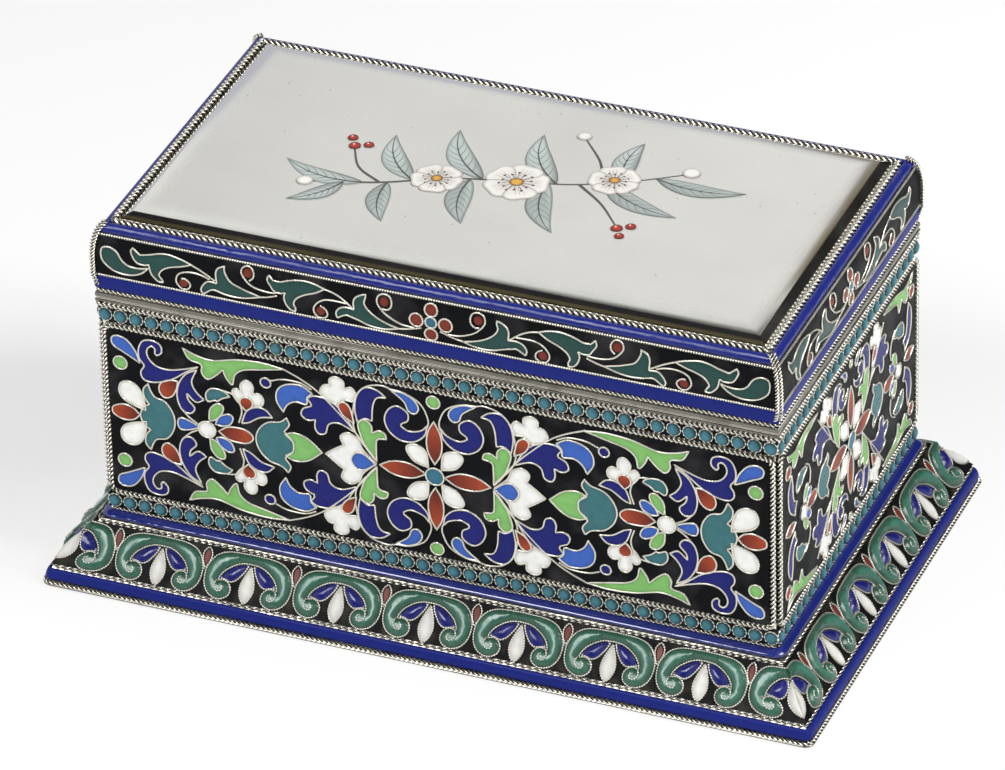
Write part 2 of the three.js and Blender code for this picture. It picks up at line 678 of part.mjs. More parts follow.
// Hinge along the back: knuckles by turns on the box and on the lid, one pin through them
const hingeY = HALF_Y + HINGE_STAND + BARREL / 2;
const hingeZ = bodyTop + PARTING / 2;
const knuckle = HINGE_LENGTH / KNUCKLES;
function knuckleGeometry(index, upper) {
  const radius = BARREL / 2;
  const webNear = PARTING / 2 + SEAM;
  const levels = upper ? [webNear, webNear + WEB] : [-webNear - WEB, -webNear];
  const root = HALF_Y + SEAM - hingeY;
  const angles = levels.map((z) => Math.PI - Math.asin(z / radius));
  const outline = new THREE.Path();
  outline.moveTo(root, levels[0]);
  outline.absarc(0, 0, radius, angles[0], angles[1] + 4 * QUARTER, false);
  outline.lineTo(root, levels[1]);
  const bore = new THREE.Path();
  bore.absarc(0, 0, PIN / 2 + PIN_CLEARANCE, 0, 4 * QUARTER, true);
  const points = outline.getPoints(HINGE_SIDES);
  const hole = new THREE.Path(bore.getPoints(HINGE_SIDES).slice(0, -1));
  const from = -HINGE_LENGTH / 2 + index * knuckle + HINGE_GAP / 2;
  const geometry = drawnAlongX(points, from, from + knuckle - HINGE_GAP, [hole]);
  return geometry.translate(0, hingeY, hingeZ);
}
for (let i = 0; i < KNUCKLES; i += 1) {
  const upper = i % 2 === 1;
  const name = upper ? `hinge_knuckle_lid_${(i + 1) / 2}` : `hinge_knuckle_box_${i / 2 + 1}`;
  piece(upper ? lid : box, name, knuckleGeometry(i, upper), SILVER);
}
const pin = new THREE.CylinderGeometry(PIN / 2, PIN / 2, HINGE_LENGTH, 2 * HINGE_SIDES);
const pinMesh = piece(box, "hinge_pin", pin.rotateZ(QUARTER), SILVER);
pinMesh.position.set(0, hingeY, hingeZ);

const stampBox = new THREE.Group();
stampBox.name = "stamp_box";
stampBox.add(box, lid);

export default stampBox;
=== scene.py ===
"""Stamp box in silver, silver-gilt and cloisonne enamel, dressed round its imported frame."""
import math
from functools import partial
from itertools import accumulate

import bpy
import numpy as np
from mathutils import Matrix, Vector
from mathutils.geometry import delaunay_2d_cdt


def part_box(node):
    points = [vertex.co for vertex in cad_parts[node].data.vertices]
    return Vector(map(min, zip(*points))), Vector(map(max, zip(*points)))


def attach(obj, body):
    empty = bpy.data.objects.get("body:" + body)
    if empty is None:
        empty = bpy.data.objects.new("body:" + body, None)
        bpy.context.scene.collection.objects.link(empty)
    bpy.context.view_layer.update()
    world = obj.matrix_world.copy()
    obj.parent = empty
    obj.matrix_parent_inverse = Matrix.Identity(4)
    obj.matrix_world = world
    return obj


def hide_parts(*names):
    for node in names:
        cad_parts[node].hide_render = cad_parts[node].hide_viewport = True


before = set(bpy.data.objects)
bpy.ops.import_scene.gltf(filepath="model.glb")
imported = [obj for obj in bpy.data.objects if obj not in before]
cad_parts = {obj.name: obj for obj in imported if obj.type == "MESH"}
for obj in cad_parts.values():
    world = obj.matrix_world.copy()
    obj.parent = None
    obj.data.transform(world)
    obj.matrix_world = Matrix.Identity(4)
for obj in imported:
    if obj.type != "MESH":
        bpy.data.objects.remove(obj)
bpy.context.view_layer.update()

bl_info = {
    "name": "Stamp box",
    "version": (1, 0, 0),
    "blender": (4, 5, 0),
    "location": "3D View > Sidebar > Stamp box",
    "description": "Twisted ropes, cloisonne cells, palmettes and finishes of a hinged stamp box",
    "category": "Object",
}

MM = 0.001
TURN = 2 * math.pi


def srgb(red, green, blue):
    """Linear colour of an 8-bit one."""
    return tuple(((c / 255 + 0.055) / 1.055) ** 2.4 for c in (red, green, blue))


# Sizes and colours that a user would change


def length(name, description, value):
    """A length property, given in millimetres."""
    return bpy.props.FloatProperty(
        name=name, description=description, default=value * MM, min=0, precision=5, unit="LENGTH"
    )


def colour(name, description, red, green, blue):
    """A colour property, given in 8 bits."""
    return bpy.props.FloatVectorProperty(
        name=name, description=description, default=srgb(red, green, blue), min=0, max=1, size=3,
        subtype="COLOR",
    )


class StampBoxSizes(bpy.types.PropertyGroup):
    """Sizes of the ornament."""

    rope_lay: length("Rope lay", "One full turn of the two strands of a rope", 1.4)
    fine_lay: length("Fine rope lay", "One full turn of the strands of a thin rope", 1.0)
    cloison: length("Cloison wire", "Width of the wire round an enamel cell", 0.3)
    cloison_bead: length("Cloison beading", "Spacing of the grains along a cloison wire", 0.36)
    bead_spacing: length("Bead spacing", "Distance between enamel beads in a border", 2.22)
    bead_radius: length("Bead radius", "Radius of an enamel bead inside its wire ring", 0.9)
    cell_step: length("Cell step", "Spacing of the points that fill an enamel cell", 0.55)
    palmette_rise: length("Palmette rise", "Height of a palmette's crown over the ground", 0.62)


class StampBoxColours(bpy.types.PropertyGroup):
    """Colours of the finishes."""

    silver: colour("Silver", "Polished silver of ropes and wires", 226, 222, 209)
    worn: colour("Worn silver", "Plain silver between the ornaments", 222, 218, 206)
    skirt_wire: colour("Skirt wire", "Worn wire round the palmettes", 196, 193, 182)
    # Lip silver: the foot and the lips under the lid, darkened as painted shade.
    lip: colour("Lip silver", "Rubbed silver of the foot and of the lips under the lid", 118, 115, 107)
    # Dark tone: tarnish in the clouds and pits of the silver, and painted shade in the hollows of ropes and
    # wires.
    tone: colour("Toned silver", "Dark tone in the hollows of the silver", 40, 36, 29)
    gilt: colour("Silver-gilt", "Lining, dividers and ramps", 226, 184, 104)
    plaque: colour("Plaque", "Burnished top of the lid", 246, 245, 239)
    ground: colour("Ground", "Blue-black enamel behind the cells", 17, 18, 20)
    # Grey clouds in the ground: painted reflections.
    painted_reflection: colour("Smudge", "Grey clouds in the ground", 54, 54, 56)
    tarnish: colour("Tarnish", "Brown clouds in the ground of the skirt", 58, 54, 43)
    cobalt: colour("Cobalt", "Round blue stripes", 31, 41, 118)
    navy: colour("Navy", "Dark blue leaves", 28, 33, 110)
    sky: colour("Sky blue", "Light blue leaves", 62, 100, 184)
    green: colour("Leaf green", "Green leaves", 128, 186, 106)
    teal: colour("Teal", "Tulips and crescents", 62, 112, 118)
    turquoise: colour("Turquoise", "Beads of the borders", 68, 122, 136)
    bead_rim: colour("Bead rim", "Beads of the borders, along their wires", 34, 66, 72)
    palmette: colour("Palmette green", "Raised scrolls of the skirt, along their wires", 37, 72, 54)
    crest: colour("Palmette crest", "Raised scrolls of the skirt, on their crests", 66, 117, 101)
    scroll: colour("Scroll teal", "Leaves of the lid frieze", 42, 74, 70)
    white: colour("White", "White petals", 240, 240, 236)
    drop: colour("Drop enamel", "White drops of the palmettes", 224, 223, 217)
    red: colour("Orange red", "Bright end of the red cells", 160, 68, 42)
    ember: colour("Dark red", "Stem end of the red cells", 96, 38, 30)
    berry: colour("Berry", "Berries and petals of the lid frieze", 124, 54, 42)
    heart: colour("Heart blue", "Middle of the flowers", 58, 112, 138)
    ink: colour("Ink", "Stems and midribs of the painted sprig", 86, 84, 78)
    leaf: colour("Painted leaf", "Leaves of the painted sprig", 190, 200, 196)
    leaf_rim: colour("Painted leaf rim", "Rims and veins of the painted leaves", 116, 126, 126)
    petal: colour("Painted petal", "Blossoms of the painted sprig", 232, 230, 223)
    petal_shade: colour("Petal rim", "Rims of the painted petals", 172, 166, 162)
    pollen: colour("Pollen", "Hearts of the painted blossoms", 214, 164, 76)
    seed: colour("Painted berry", "Berries of the painted sprig", 176, 58, 46)
    shadow: colour("Painted shadow", "Soft shadows under the painted sprig", 176, 175, 170)
    shadow_rim: colour("Shadow rim", "Rims of the painted shadows", 204, 203, 198)


def sizes():
    """The scene's sizes."""
    return bpy.context.scene.stamp_box_sizes


def hue(name):
    """One of the scene's colours."""
    return tuple(getattr(bpy.context.scene.stamp_box_colours, name))


# Places on the box, in millimetres

HALF_X = -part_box("panel_left")[0].x / MM
HALF_Y = -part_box("panel_front")[0].y / MM
# Sides: half length, reach from the middle, quarter turns from the front
SIDES = {
    "front": (HALF_X, HALF_Y, 0),
    "right": (HALF_Y, HALF_X, 1),
    "back": (HALF_X, HALF_Y, 2),
    "left": (HALF_Y, HALF_X, 3),
}
CORNERS = ((-1, -1), (1, -1), (1, 1), (-1, 1))
HEX_WIDTH = math.cos(math.pi / 6)


def turned(point, quarters):
    """A point of the front side carried to another side."""
    x, y, z = point
    for _ in range(quarters):
        x, y = -y, x
    return (x, y, z)


def is_long(side):
    """Whether a side runs along the length of the box."""
    return SIDES[side][2] % 2 == 0


def box_loop(out):
    """The corners of the body, moved outwards."""
    return [(x * (HALF_X + out), y * (HALF_Y + out)) for x, y in CORNERS]


def on_panel(side):
    """Places on a side panel: across, up from its middle, and out of its face."""
    _, reach, quarters = SIDES[side]
    low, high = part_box(f"panel_{side}")
    middle = (low.z + high.z) / 2 / MM
    return lambda u, v, h: turned((u, -(reach + h), middle + v), quarters)


# Face of the skirt's frieze, from its foot to its top: out from the body faces and up
SKIRT_FOOT = (5.933, 2.939)
SKIRT_TOP = (1.397, 8.079)
SKIRT_SKIN = 0.5
SKIRT_WIDTH = math.dist(SKIRT_FOOT, SKIRT_TOP)
SKIRT_NORMAL = ((SKIRT_TOP[1] - SKIRT_FOOT[1]) / SKIRT_WIDTH, (SKIRT_FOOT[0] - SKIRT_TOP[0]) / SKIRT_WIDTH)
SKIRT_MIDDLE = (SKIRT_FOOT[0] + SKIRT_TOP[0]) / 2
PALMETTE_SPACING = 12.9


def palmette_count(half):
    """Palmettes along a side, its two half ones at the corners counted as one."""
    return round(2 * (half + SKIRT_MIDDLE) / PALMETTE_SPACING)


def on_skirt(side, t, s, h):
    """A place on the skirt: t from corner to corner, s from foot to top, h off its face; corners fan out."""
    half, reach, quarters = SIDES[side]
    out = SKIRT_FOOT[0] + s * (SKIRT_TOP[0] - SKIRT_FOOT[0]) + h * SKIRT_NORMAL[0]
    z = SKIRT_FOOT[1] + s * (SKIRT_TOP[1] - SKIRT_FOOT[1]) + h * SKIRT_NORMAL[1]
    count = palmette_count(half)
    run = min(abs(t), 1 - 1 / count) * (half + SKIRT_MIDDLE)
    fold = max(count * (abs(t) - 1) + 1, 0)
    x = math.copysign(run + fold * (half + out - run), t)
    return turned((x, -(reach + out), z), quarters)


# Core line of the lid, out and up: foot of the blue band, upright side, rounded shoulder
LID_SKIN = 0.52
LID_OUT = -0.5
LID_BAND_FOOT = (-0.85, 44.7)
LID_SIDE_Z = 46.45
LID_SHOULDER_Z = 49.15
LID_SHOULDER = (1.25, 4.35)
LID_WIRE_LANE = 0.39
LID_UPPER_BAND = 1.15
SHOULDER_STEPS = 28


def lid_line():
    """Points of the lid's core line over its lower blue band."""
    line = [(LID_OUT, LID_SIDE_Z)]
    for i in range(SHOULDER_STEPS + 1):
        a = i / SHOULDER_STEPS * TURN / 4
        out = LID_OUT - LID_SHOULDER[0] * (1 - math.cos(a))
        line.append((out, LID_SHOULDER_Z + LID_SHOULDER[1] * math.sin(a)))
    return line


LID_CORE = lid_line()
LID_SUMS = [0.0, *accumulate(math.dist(a, b) for a, b in zip(LID_CORE, LID_CORE[1:]))]
LID_RUN = LID_SUMS[-1]
LID_FRIEZE = (LID_WIRE_LANE, LID_RUN - LID_UPPER_BAND - LID_WIRE_LANE)


def lid_point(s, h):
    """Out and up at a distance along the lid's core line and a height off it."""
    i = 1
    while i < len(LID_CORE) - 1 and LID_SUMS[i] < s:
        i += 1
    a, b = LID_CORE[i - 1], LID_CORE[i]
    size = LID_SUMS[i] - LID_SUMS[i - 1]
    t = (s - LID_SUMS[i - 1]) / size
    normal = ((b[1] - a[1]) / size, (a[0] - b[0]) / size)
    return (a[0] + t * (b[0] - a[0]) + h * normal[0], a[1] + t * (b[1] - a[1]) + h * normal[1])


def on_lid(side):
    """Places on the lid frieze: across, up it, and out of its face."""
    _, reach, quarters = SIDES[side]

    def place(u, v, h):
        out, z = lid_point(LID_FRIEZE[0] + v, LID_SKIN + h)
        return turned((u, -(reach + out), z), quarters)

    return place


# Node trees


def node(tree, kind, **settings):
    """A new node with its settings."""
    made = tree.nodes.new(kind)
    for key, value in settings.items():
        setattr(made, key, value)
    return made


def feed(tree, socket, value):
    """Links a socket to an output, or sets its value."""
    if isinstance(value, bpy.types.NodeSocket):
        tree.links.new(value, socket)
    else:
        socket.default_value = value


def calc(tree, operation, a, b=0.0, c=0.0):
    """A math node of any tree."""
    made = node(tree, "ShaderNodeMath", operation=operation)
    for socket, value in zip(made.inputs, (a, b, c)):
        feed(tree, socket, value)
    return made.outputs[0]


def new_tree(kind, name, inputs, output):
    """An empty node tree with named sockets: the tree, its inputs and its output socket."""
    tree = bpy.data.node_groups.new(name, kind)
    for in_out, sockets in (("INPUT", inputs), ("OUTPUT", output)):
        for label, socket in sockets.items():
            tree.interface.new_socket(label, in_out=in_out, socket_type=f"NodeSocket{socket}")
    return tree, node(tree, "NodeGroupInput").outputs, node(tree, "NodeGroupOutput").inputs[0]


def shape_tree(name, inputs):
    """An empty Geometry Nodes tree."""
    shape = {"Geometry": "Geometry"}
    made = new_tree("GeometryNodeTree", name, {**shape, **inputs}, shape)
    made[0].is_modifier = True
    return made


def chain(tree, kind, geometry, settings=None, **values):
    """A node that takes geometry in at its first socket; gives its first output."""
    made = node(tree, kind, **(settings or {}))
    tree.links.new(geometry, made.inputs[0])
    for label, value in values.items():
        feed(tree, made.inputs[label.replace("_", " ")], value)
    return made.outputs[0]


def closed_off(tree, geometry, material, result):
    """Smooth shading, real geometry and a finish at the end of a tree."""
    smooth = chain(tree, "GeometryNodeSetShadeSmooth", geometry)
    real = chain(tree, "GeometryNodeRealizeInstances", smooth)
    tree.links.new(chain(tree, "GeometryNodeSetMaterial", real, Material=material), result)


def round_section(tree, sides, radius):
    """A circle to carry along a path."""
    circle = node(tree, "GeometryNodeCurvePrimitiveCircle", mode="RADIUS")
    feed(tree, circle.inputs["Resolution"], sides)
    feed(tree, circle.inputs["Radius"], radius)
    return circle.outputs["Curve"]


def store_hollow(tree, geometry, value):
    """Keeps how deep a point lies in the hollows, for the silver's tarnish and painted shade."""
    return chain(
        tree, "GeometryNodeStoreNamedAttribute", geometry,
        {"data_type": "FLOAT", "domain": "POINT"}, Name="hollow", Value=value,
    )


ROPE_SIDES = 10
ROPE_RINGS = 8
ROPE_WAIST = 0.62


def rope_tree():
    """Two strands twisted together along a path."""
    tree, given, result = shape_tree("twisted_rope", {
        "Diameter": "Float", "Lay": "Float", "Material": "Material",
    })
    path = chain(tree, "GeometryNodeMeshToCurve", given["Geometry"])
    step = calc(tree, "DIVIDE", given["Lay"], ROPE_RINGS)
    path = chain(tree, "GeometryNodeResampleCurve", path, {"mode": "LENGTH"}, Length=step)
    whole = node(tree, "GeometryNodeSplineLength").outputs["Length"]
    half_lay = calc(tree, "DIVIDE", given["Lay"], 2.0)
    half_turns = calc(tree, "ROUND", calc(tree, "DIVIDE", whole, half_lay))
    along = node(tree, "GeometryNodeSplineParameter").outputs["Factor"]
    tilt = calc(tree, "MULTIPLY", calc(tree, "MULTIPLY", along, half_turns), math.pi)
    path = chain(tree, "GeometryNodeSetCurveTilt", path, Tilt=tilt)
    section = round_section(tree, ROPE_SIDES, calc(tree, "DIVIDE", given["Diameter"], 2.0))
    index = node(tree, "GeometryNodeInputIndex").outputs[0]
    lobe = calc(tree, "COSINE", calc(tree, "MULTIPLY", index, 2 * TURN / ROPE_SIDES))
    reach = calc(tree, "MULTIPLY_ADD", lobe, 1 - ROPE_WAIST, ROPE_WAIST)
    place = node(tree, "GeometryNodeInputPosition").outputs[0]
    pull = node(tree, "ShaderNodeVectorMath", operation="SCALE")
    feed(tree, pull.inputs[0], place)
    feed(tree, pull.inputs["Scale"], reach)
    section = chain(tree, "GeometryNodeSetPosition", section, Position=pull.outputs[0])
    # The waist between the strands is marked for tarnish and painted shade.
    section = store_hollow(tree, section, calc(tree, "MULTIPLY_ADD", lobe, -0.5, 0.5))
    body = chain(tree, "GeometryNodeCurveToMesh", path, Profile_Curve=section, Fill_Caps=True)
    closed_off(tree, body, given["Material"], result)
    return tree


WIRE_SIDES = 5
WIRE_NOTCH = 0.11
DEEP_NOTCH = 0.19
WIRE_HOLLOW = 3.2


def beaded_path(tree, path, width, pitch, notch):
    """A fine wire with grains along it, parted by notches."""
    path = chain(
        tree, "GeometryNodeResampleCurve", path, {"mode": "LENGTH"}, Length=calc(tree, "DIVIDE", pitch, 2.0)
    )
    index = node(tree, "GeometryNodeInputIndex").outputs[0]
    odd = calc(tree, "MODULO", index, 2.0)
    cut = calc(tree, "MULTIPLY", odd, notch)
    # Notches between the grains are marked for tarnish and painted shade.
    path = store_hollow(tree, path, calc(tree, "MULTIPLY", cut, WIRE_HOLLOW))
    full = calc(tree, "MULTIPLY_ADD", notch, 0.5, 0.5)
    size = calc(tree, "MULTIPLY", width, calc(tree, "MULTIPLY_ADD", cut, -2.0, full))
    section = round_section(tree, WIRE_SIDES, 1.0)
    return chain(tree, "GeometryNodeCurveToMesh", path, Profile_Curve=section, Scale=size, Fill_Caps=True)


def wire_tree():
    """Grained cloison wires along their paths."""
    tree, given, result = shape_tree("cloison_wire", {
        "Width": "Float", "Pitch": "Float", "Notch": "Float", "Material": "Material",
    })
    path = chain(tree, "GeometryNodeMeshToCurve", given["Geometry"])
    wire = beaded_path(tree, path, given["Width"], given["Pitch"], given["Notch"])
    closed_off(tree, wire, given["Material"], result)
    return tree


BEAD_SEGMENTS = 12
BEAD_RINGS = 7
RING_STEPS = 20
RING_SEAT = 0.3


def bead_tree():
    """Domed enamel beads, each in a grained wire ring, at points that know which way they face."""
    tree, given, result = shape_tree("bead_border", {
        "Radius": "Float", "Rise": "Float", "Wire": "Float", "Enamel": "Material", "Metal": "Material",
    })
    facing = node(tree, "GeometryNodeInputNamedAttribute", data_type="FLOAT")
    feed(tree, facing.inputs["Name"], "facing")
    turn = node(tree, "ShaderNodeCombineXYZ")
    feed(tree, turn.inputs["Z"], facing.outputs["Attribute"])
    dome = node(tree, "GeometryNodeMeshUVSphere")
    feed(tree, dome.inputs["Segments"], BEAD_SEGMENTS)
    feed(tree, dome.inputs["Rings"], BEAD_RINGS)
    spot = node(tree, "ShaderNodeSeparateXYZ")
    feed(tree, spot.inputs[0], node(tree, "GeometryNodeInputPosition").outputs[0])
    rim = calc(tree, "SUBTRACT", 1.0, calc(tree, "ABSOLUTE", spot.outputs["Y"]))
    ball = store_hollow(tree, dome.outputs["Mesh"], rim)
    size = node(tree, "ShaderNodeCombineXYZ")
    for label, value in (("X", "Radius"), ("Y", "Rise"), ("Z", "Radius")):
        feed(tree, size.inputs[label], given[value])
    dome = chain(tree, "GeometryNodeTransform", ball, Scale=size.outputs[0])
    hoop = calc(tree, "ADD", given["Radius"], calc(tree, "MULTIPLY", given["Wire"], RING_SEAT))
    ring = beaded_path(
        tree, round_section(tree, RING_STEPS, hoop), given["Wire"],
        calc(tree, "MULTIPLY", hoop, 2 * TURN / RING_STEPS), DEEP_NOTCH,
    )
    ring = chain(tree, "GeometryNodeTransform", ring, Rotation=(TURN / 4, 0, 0))
    borders = node(tree, "GeometryNodeJoinGeometry")
    for part, finish in ((dome, "Enamel"), (ring, "Metal")):
        smooth = chain(tree, "GeometryNodeSetShadeSmooth", part)
        many = chain(
            tree, "GeometryNodeInstanceOnPoints", given["Geometry"], Instance=smooth, Rotation=turn.outputs[0]
        )
        real = chain(tree, "GeometryNodeRealizeInstances", many)
        made = chain(tree, "GeometryNodeSetMaterial", real, Material=given[finish])
        tree.links.new(made, borders.inputs[0])
    tree.links.new(borders.outputs[0], result)
    return tree


def tree_named(name, make):
    """A tree, built once."""
    return bpy.data.node_groups.get(name) or make()


# Meshes


def grown(name, paths, tree, values, attributes=None):
    """A plain mesh that a tree grows from paths in mm, each closed (True), open (False) or loose (None)."""
    points = []
    edges = []
    for path, closed in paths:
        first = len(points)
        points.extend(path)
        if closed is None:
            continue
        edges.extend((first + i, first + i + 1) for i in range(len(path) - 1))
        if closed:
            edges.append((len(points) - 1, first))
    seed = bpy.data.meshes.new(name + "_paths")
    seed.from_pydata([[c * MM for c in p] for p in points], edges, [])
    for label, numbers in (attributes or {}).items():
        seed.attributes.new(label, "FLOAT", "POINT").data.foreach_set("value", numbers)
    source = bpy.data.objects.new(name + "_source", seed)
    bpy.context.scene.collection.objects.link(source)
    modifier = source.modifiers.new("grow", "NODES")
    modifier.node_group = tree
    for item in tree.interface.items_tree:
        if item.in_out == "INPUT" and item.name in values:
            modifier[item.identifier] = values[item.name]
    bpy.context.view_layer.update()
    grown_object = source.evaluated_get(bpy.context.evaluated_depsgraph_get())
    mesh = bpy.data.meshes.new_from_object(grown_object)
    source.modifiers.clear()
    bpy.data.objects.remove(source)
    bpy.data.meshes.remove(seed)
    if not mesh.polygons:
        raise RuntimeError(f"{name} came out empty")
    mesh.name = name
    return linked(name, mesh)


def linked(name, mesh):
    """An object at the origin for a finished mesh."""
    made = bpy.data.objects.new(name, mesh)
    bpy.context.scene.collection.objects.link(made)
    return made


def settle(piece, body, slot, *nodes):
    """Tells the frame which body a piece rides on and the nodes that it stands for; slot, its finish, is not
    used.
    """
    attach(piece, body)
    if nodes:
        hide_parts(*nodes)
    return piece


class Shell:
    """Points, faces and glaze colours of a mesh under construction."""

    def __init__(self):
        self.points = []
        self.faces = []
        self.glaze = []

    def add(self, points, faces, glaze=None):
        first = len(self.points)
        self.points.extend(points)
        self.faces.extend([first + i for i in face] for face in faces)
        self.glaze.extend(glaze or [(1, 1, 1)] * len(points))

    def made(self, name, material, sharp=40):
        mesh = bpy.data.meshes.new(name)
        mesh.from_pydata([[c * MM for c in p] for p in self.points], [], self.faces)
        paint = mesh.color_attributes.new("glaze", "FLOAT_COLOR", "POINT")
        flat = np.ones((len(self.points), 4), np.float32)
        flat[:, :3] = self.glaze
        paint.data.foreach_set("color", flat.ravel())
        mesh.materials.append(material)
        mesh.shade_smooth()
        mesh.set_sharp_from_angle(angle=math.radians(sharp))
        mesh.update()
        return linked(name, mesh)


CORNER_STEPS = 5


def round_loop(half_u, half_v, radius):
    """A rectangle with rounded corners."""
    loop = []
    for k, (u, v) in enumerate(CORNERS):
        for i in range(CORNER_STEPS + 1):
            a = (k + 2 + i / CORNER_STEPS) * TURN / 4
            across = u * (half_u - radius) + radius * math.cos(a)
            loop.append((across, v * (half_v - radius) + radius * math.sin(a)))
    return loop


def ring(name, section, material, radius=0):
    """A section (out, up) carried round the four sides, mitred or with corners of a radius."""
    size = len(section)
    if radius:
        far = max(out for out, _ in section)
        loops = [round_loop(HALF_X + out, HALF_Y + out, radius + out - far) for out, _ in section]
    else:
        loops = [box_loop(out) for out, _ in section]
    count = len(loops[0])
    points = [(*loops[i][k], section[i][1]) for k in range(count) for i in range(size)]
    faces = []
    for k in range(count):
        here, after = k * size, (k + 1) % count * size
        for i in range(size):
            j = (i + 1) % size
            faces.append((here + i, after + i, after + j, here + j))
    shell = Shell()
    shell.add(points, faces)
    return shell.made(name, material)


def smooth_path(points, closed, step):
    """A curve through points; a third number of 1 marks a sharp one."""
    points = [tuple(p) for p in points]
    sharp = [i for i, p in enumerate(points) if len(p) > 2]
    flat = [np.array(p[:2]) for p in points]
    if closed and sharp:
        flat = flat[sharp[0]:] + flat[:sharp[0]] + [flat[sharp[0]]]
        cuts = [i - sharp[0] for i in sharp] + [len(points)]
    elif closed:
        cuts = None
    else:
        cuts = sorted({0, len(flat) - 1, *sharp})
    line = []
    if cuts is None:
        count = len(flat)
        for i in range(count):
            after, beyond = flat[(i + 1) % count], flat[(i + 2) % count]
            line.extend(spline_piece(flat[i - 1], flat[i], after, beyond, step))
        return line
    for a, b in zip(cuts, cuts[1:]):
        for i in range(a, b):
            before = flat[i - 1] if i > a else 2 * flat[i] - flat[i + 1]
            after = flat[i + 2] if i + 2 <= b else 2 * flat[i + 1] - flat[i]
            line.extend(spline_piece(before, flat[i], flat[i + 1], after, step))
    if not closed:
        line.append(tuple(flat[-1]))
    return line


def spline_piece(p0, p1, p2, p3, step):
    """Points of one span, its end left out."""
    count = max(1, round(float(np.linalg.norm(p2 - p1)) / step))
    made = []
    for i in range(count):
        t = i / count
        q = 0.5 * (
            2 * p1 + (p2 - p0) * t + (2 * p0 - 5 * p1 + 4 * p2 - p3) * t * t
            + (3 * p1 - p0 - 3 * p2 + p3) * t ** 3
        )
        made.append((float(q[0]), float(q[1])))
    return made


TINY = 1e-12


def edge_distance(points, outline):
    """Distance of points from a closed outline."""
    p = np.asarray(points, float)[:, None, :]
    a = np.asarray(outline, float)
    b = np.roll(a, -1, axis=0)
    ab = b - a
    t = ((p - a) * ab).sum(2) / np.maximum((ab * ab).sum(1), TINY)
    near = a + np.clip(t, 0, 1)[..., None] * ab
    return np.sqrt(((p - near) ** 2).sum(2)).min(1)


def inside(points, outline):
    """Which points lie inside a closed outline."""
    p = np.asarray(points, float)
    a = np.asarray(outline, float)
    b = np.roll(a, -1, axis=0)
    x, y = p[:, 0:1], p[:, 1:2]
    span = (a[:, 1] > y) != (b[:, 1] > y)
    rise = np.where(b[:, 1] == a[:, 1], TINY, b[:, 1] - a[:, 1])
    cross = x < (b[:, 0] - a[:, 0]) * (y - a[:, 1]) / rise + a[:, 0]
    return (span & cross).sum(1) % 2 == 1


# Grid that fills an outline, in shares of its step: distance of its rows, least distance from the rim
ROW_SHARE = 0.87
RIM_SHARE = 0.45
WELD = 1e-6


def filled(outline, step, dome_outline=None):
    """Triangles that fill an outline: points, faces, rim edges, and distances from the dome's outline."""
    rim = np.asarray(outline, float)
    if sum(a[0] * b[1] - a[1] * b[0] for a, b in zip(outline, outline[1:] + outline[:1])) < 0:
        rim = rim[::-1]
    low, high = rim.min(0), rim.max(0)
    rows = np.arange(low[1] + step / 2, high[1], step * ROW_SHARE)
    grid = [
        (x, y)
        for k, y in enumerate(rows)
        for x in np.arange(low[0] + (step / 2 if k % 2 else 0), high[0], step)
    ]
    if grid:
        grid = np.asarray(grid)
        grid = grid[inside(grid, rim) & (edge_distance(grid, rim) > step * RIM_SHARE)]
    count = len(rim)
    seeds = [Vector(p) for p in (*rim, *grid)]
    loop = [(i, (i + 1) % count) for i in range(count)]
    points, _, faces, *_ = delaunay_2d_cdt(seeds, loop, [], 1, WELD)
    points = [tuple(p) for p in points]
    edges = [(a, b) for face in faces for a, b in zip(face, face[1:] + face[:1])]
    known = set(edges)
    border = [(a, b) for a, b in edges if (b, a) not in known]
    return points, faces, border, edge_distance(points, dome_outline or rim)


def cell(shell, fill, place, low, edge, rise, round_over, glaze):
    """An enamel cell with a domed face, upright sides and a flat back."""
    points, faces, border, depth = fill
    t = np.clip(depth / round_over, 0, 1)
    height = edge + rise * np.sqrt(1 - (1 - t) ** 2)
    count = len(points)
    top = [place(x, y, float(h)) for (x, y), h in zip(points, height)]
    back = [place(x, y, low) for x, y in points]
    sheet = [list(f) for f in faces] + [[count + i for i in reversed(f)] for f in faces]
    sheet += [[b, a, count + a, count + b] for a, b in border]
    tint = glaze(points, t)
    shell.add(top + back, sheet, tint + tint)


# Outlines of the enamel cells, in mm from the middle of a panel; a third number marks a sharp point.
# "quad" cells are drawn in the upper left quarter and mirrored twice. "half" cells are drawn above the
# middle line, closed by their mirror image, and mirrored once. "tall" ones are drawn left of it.

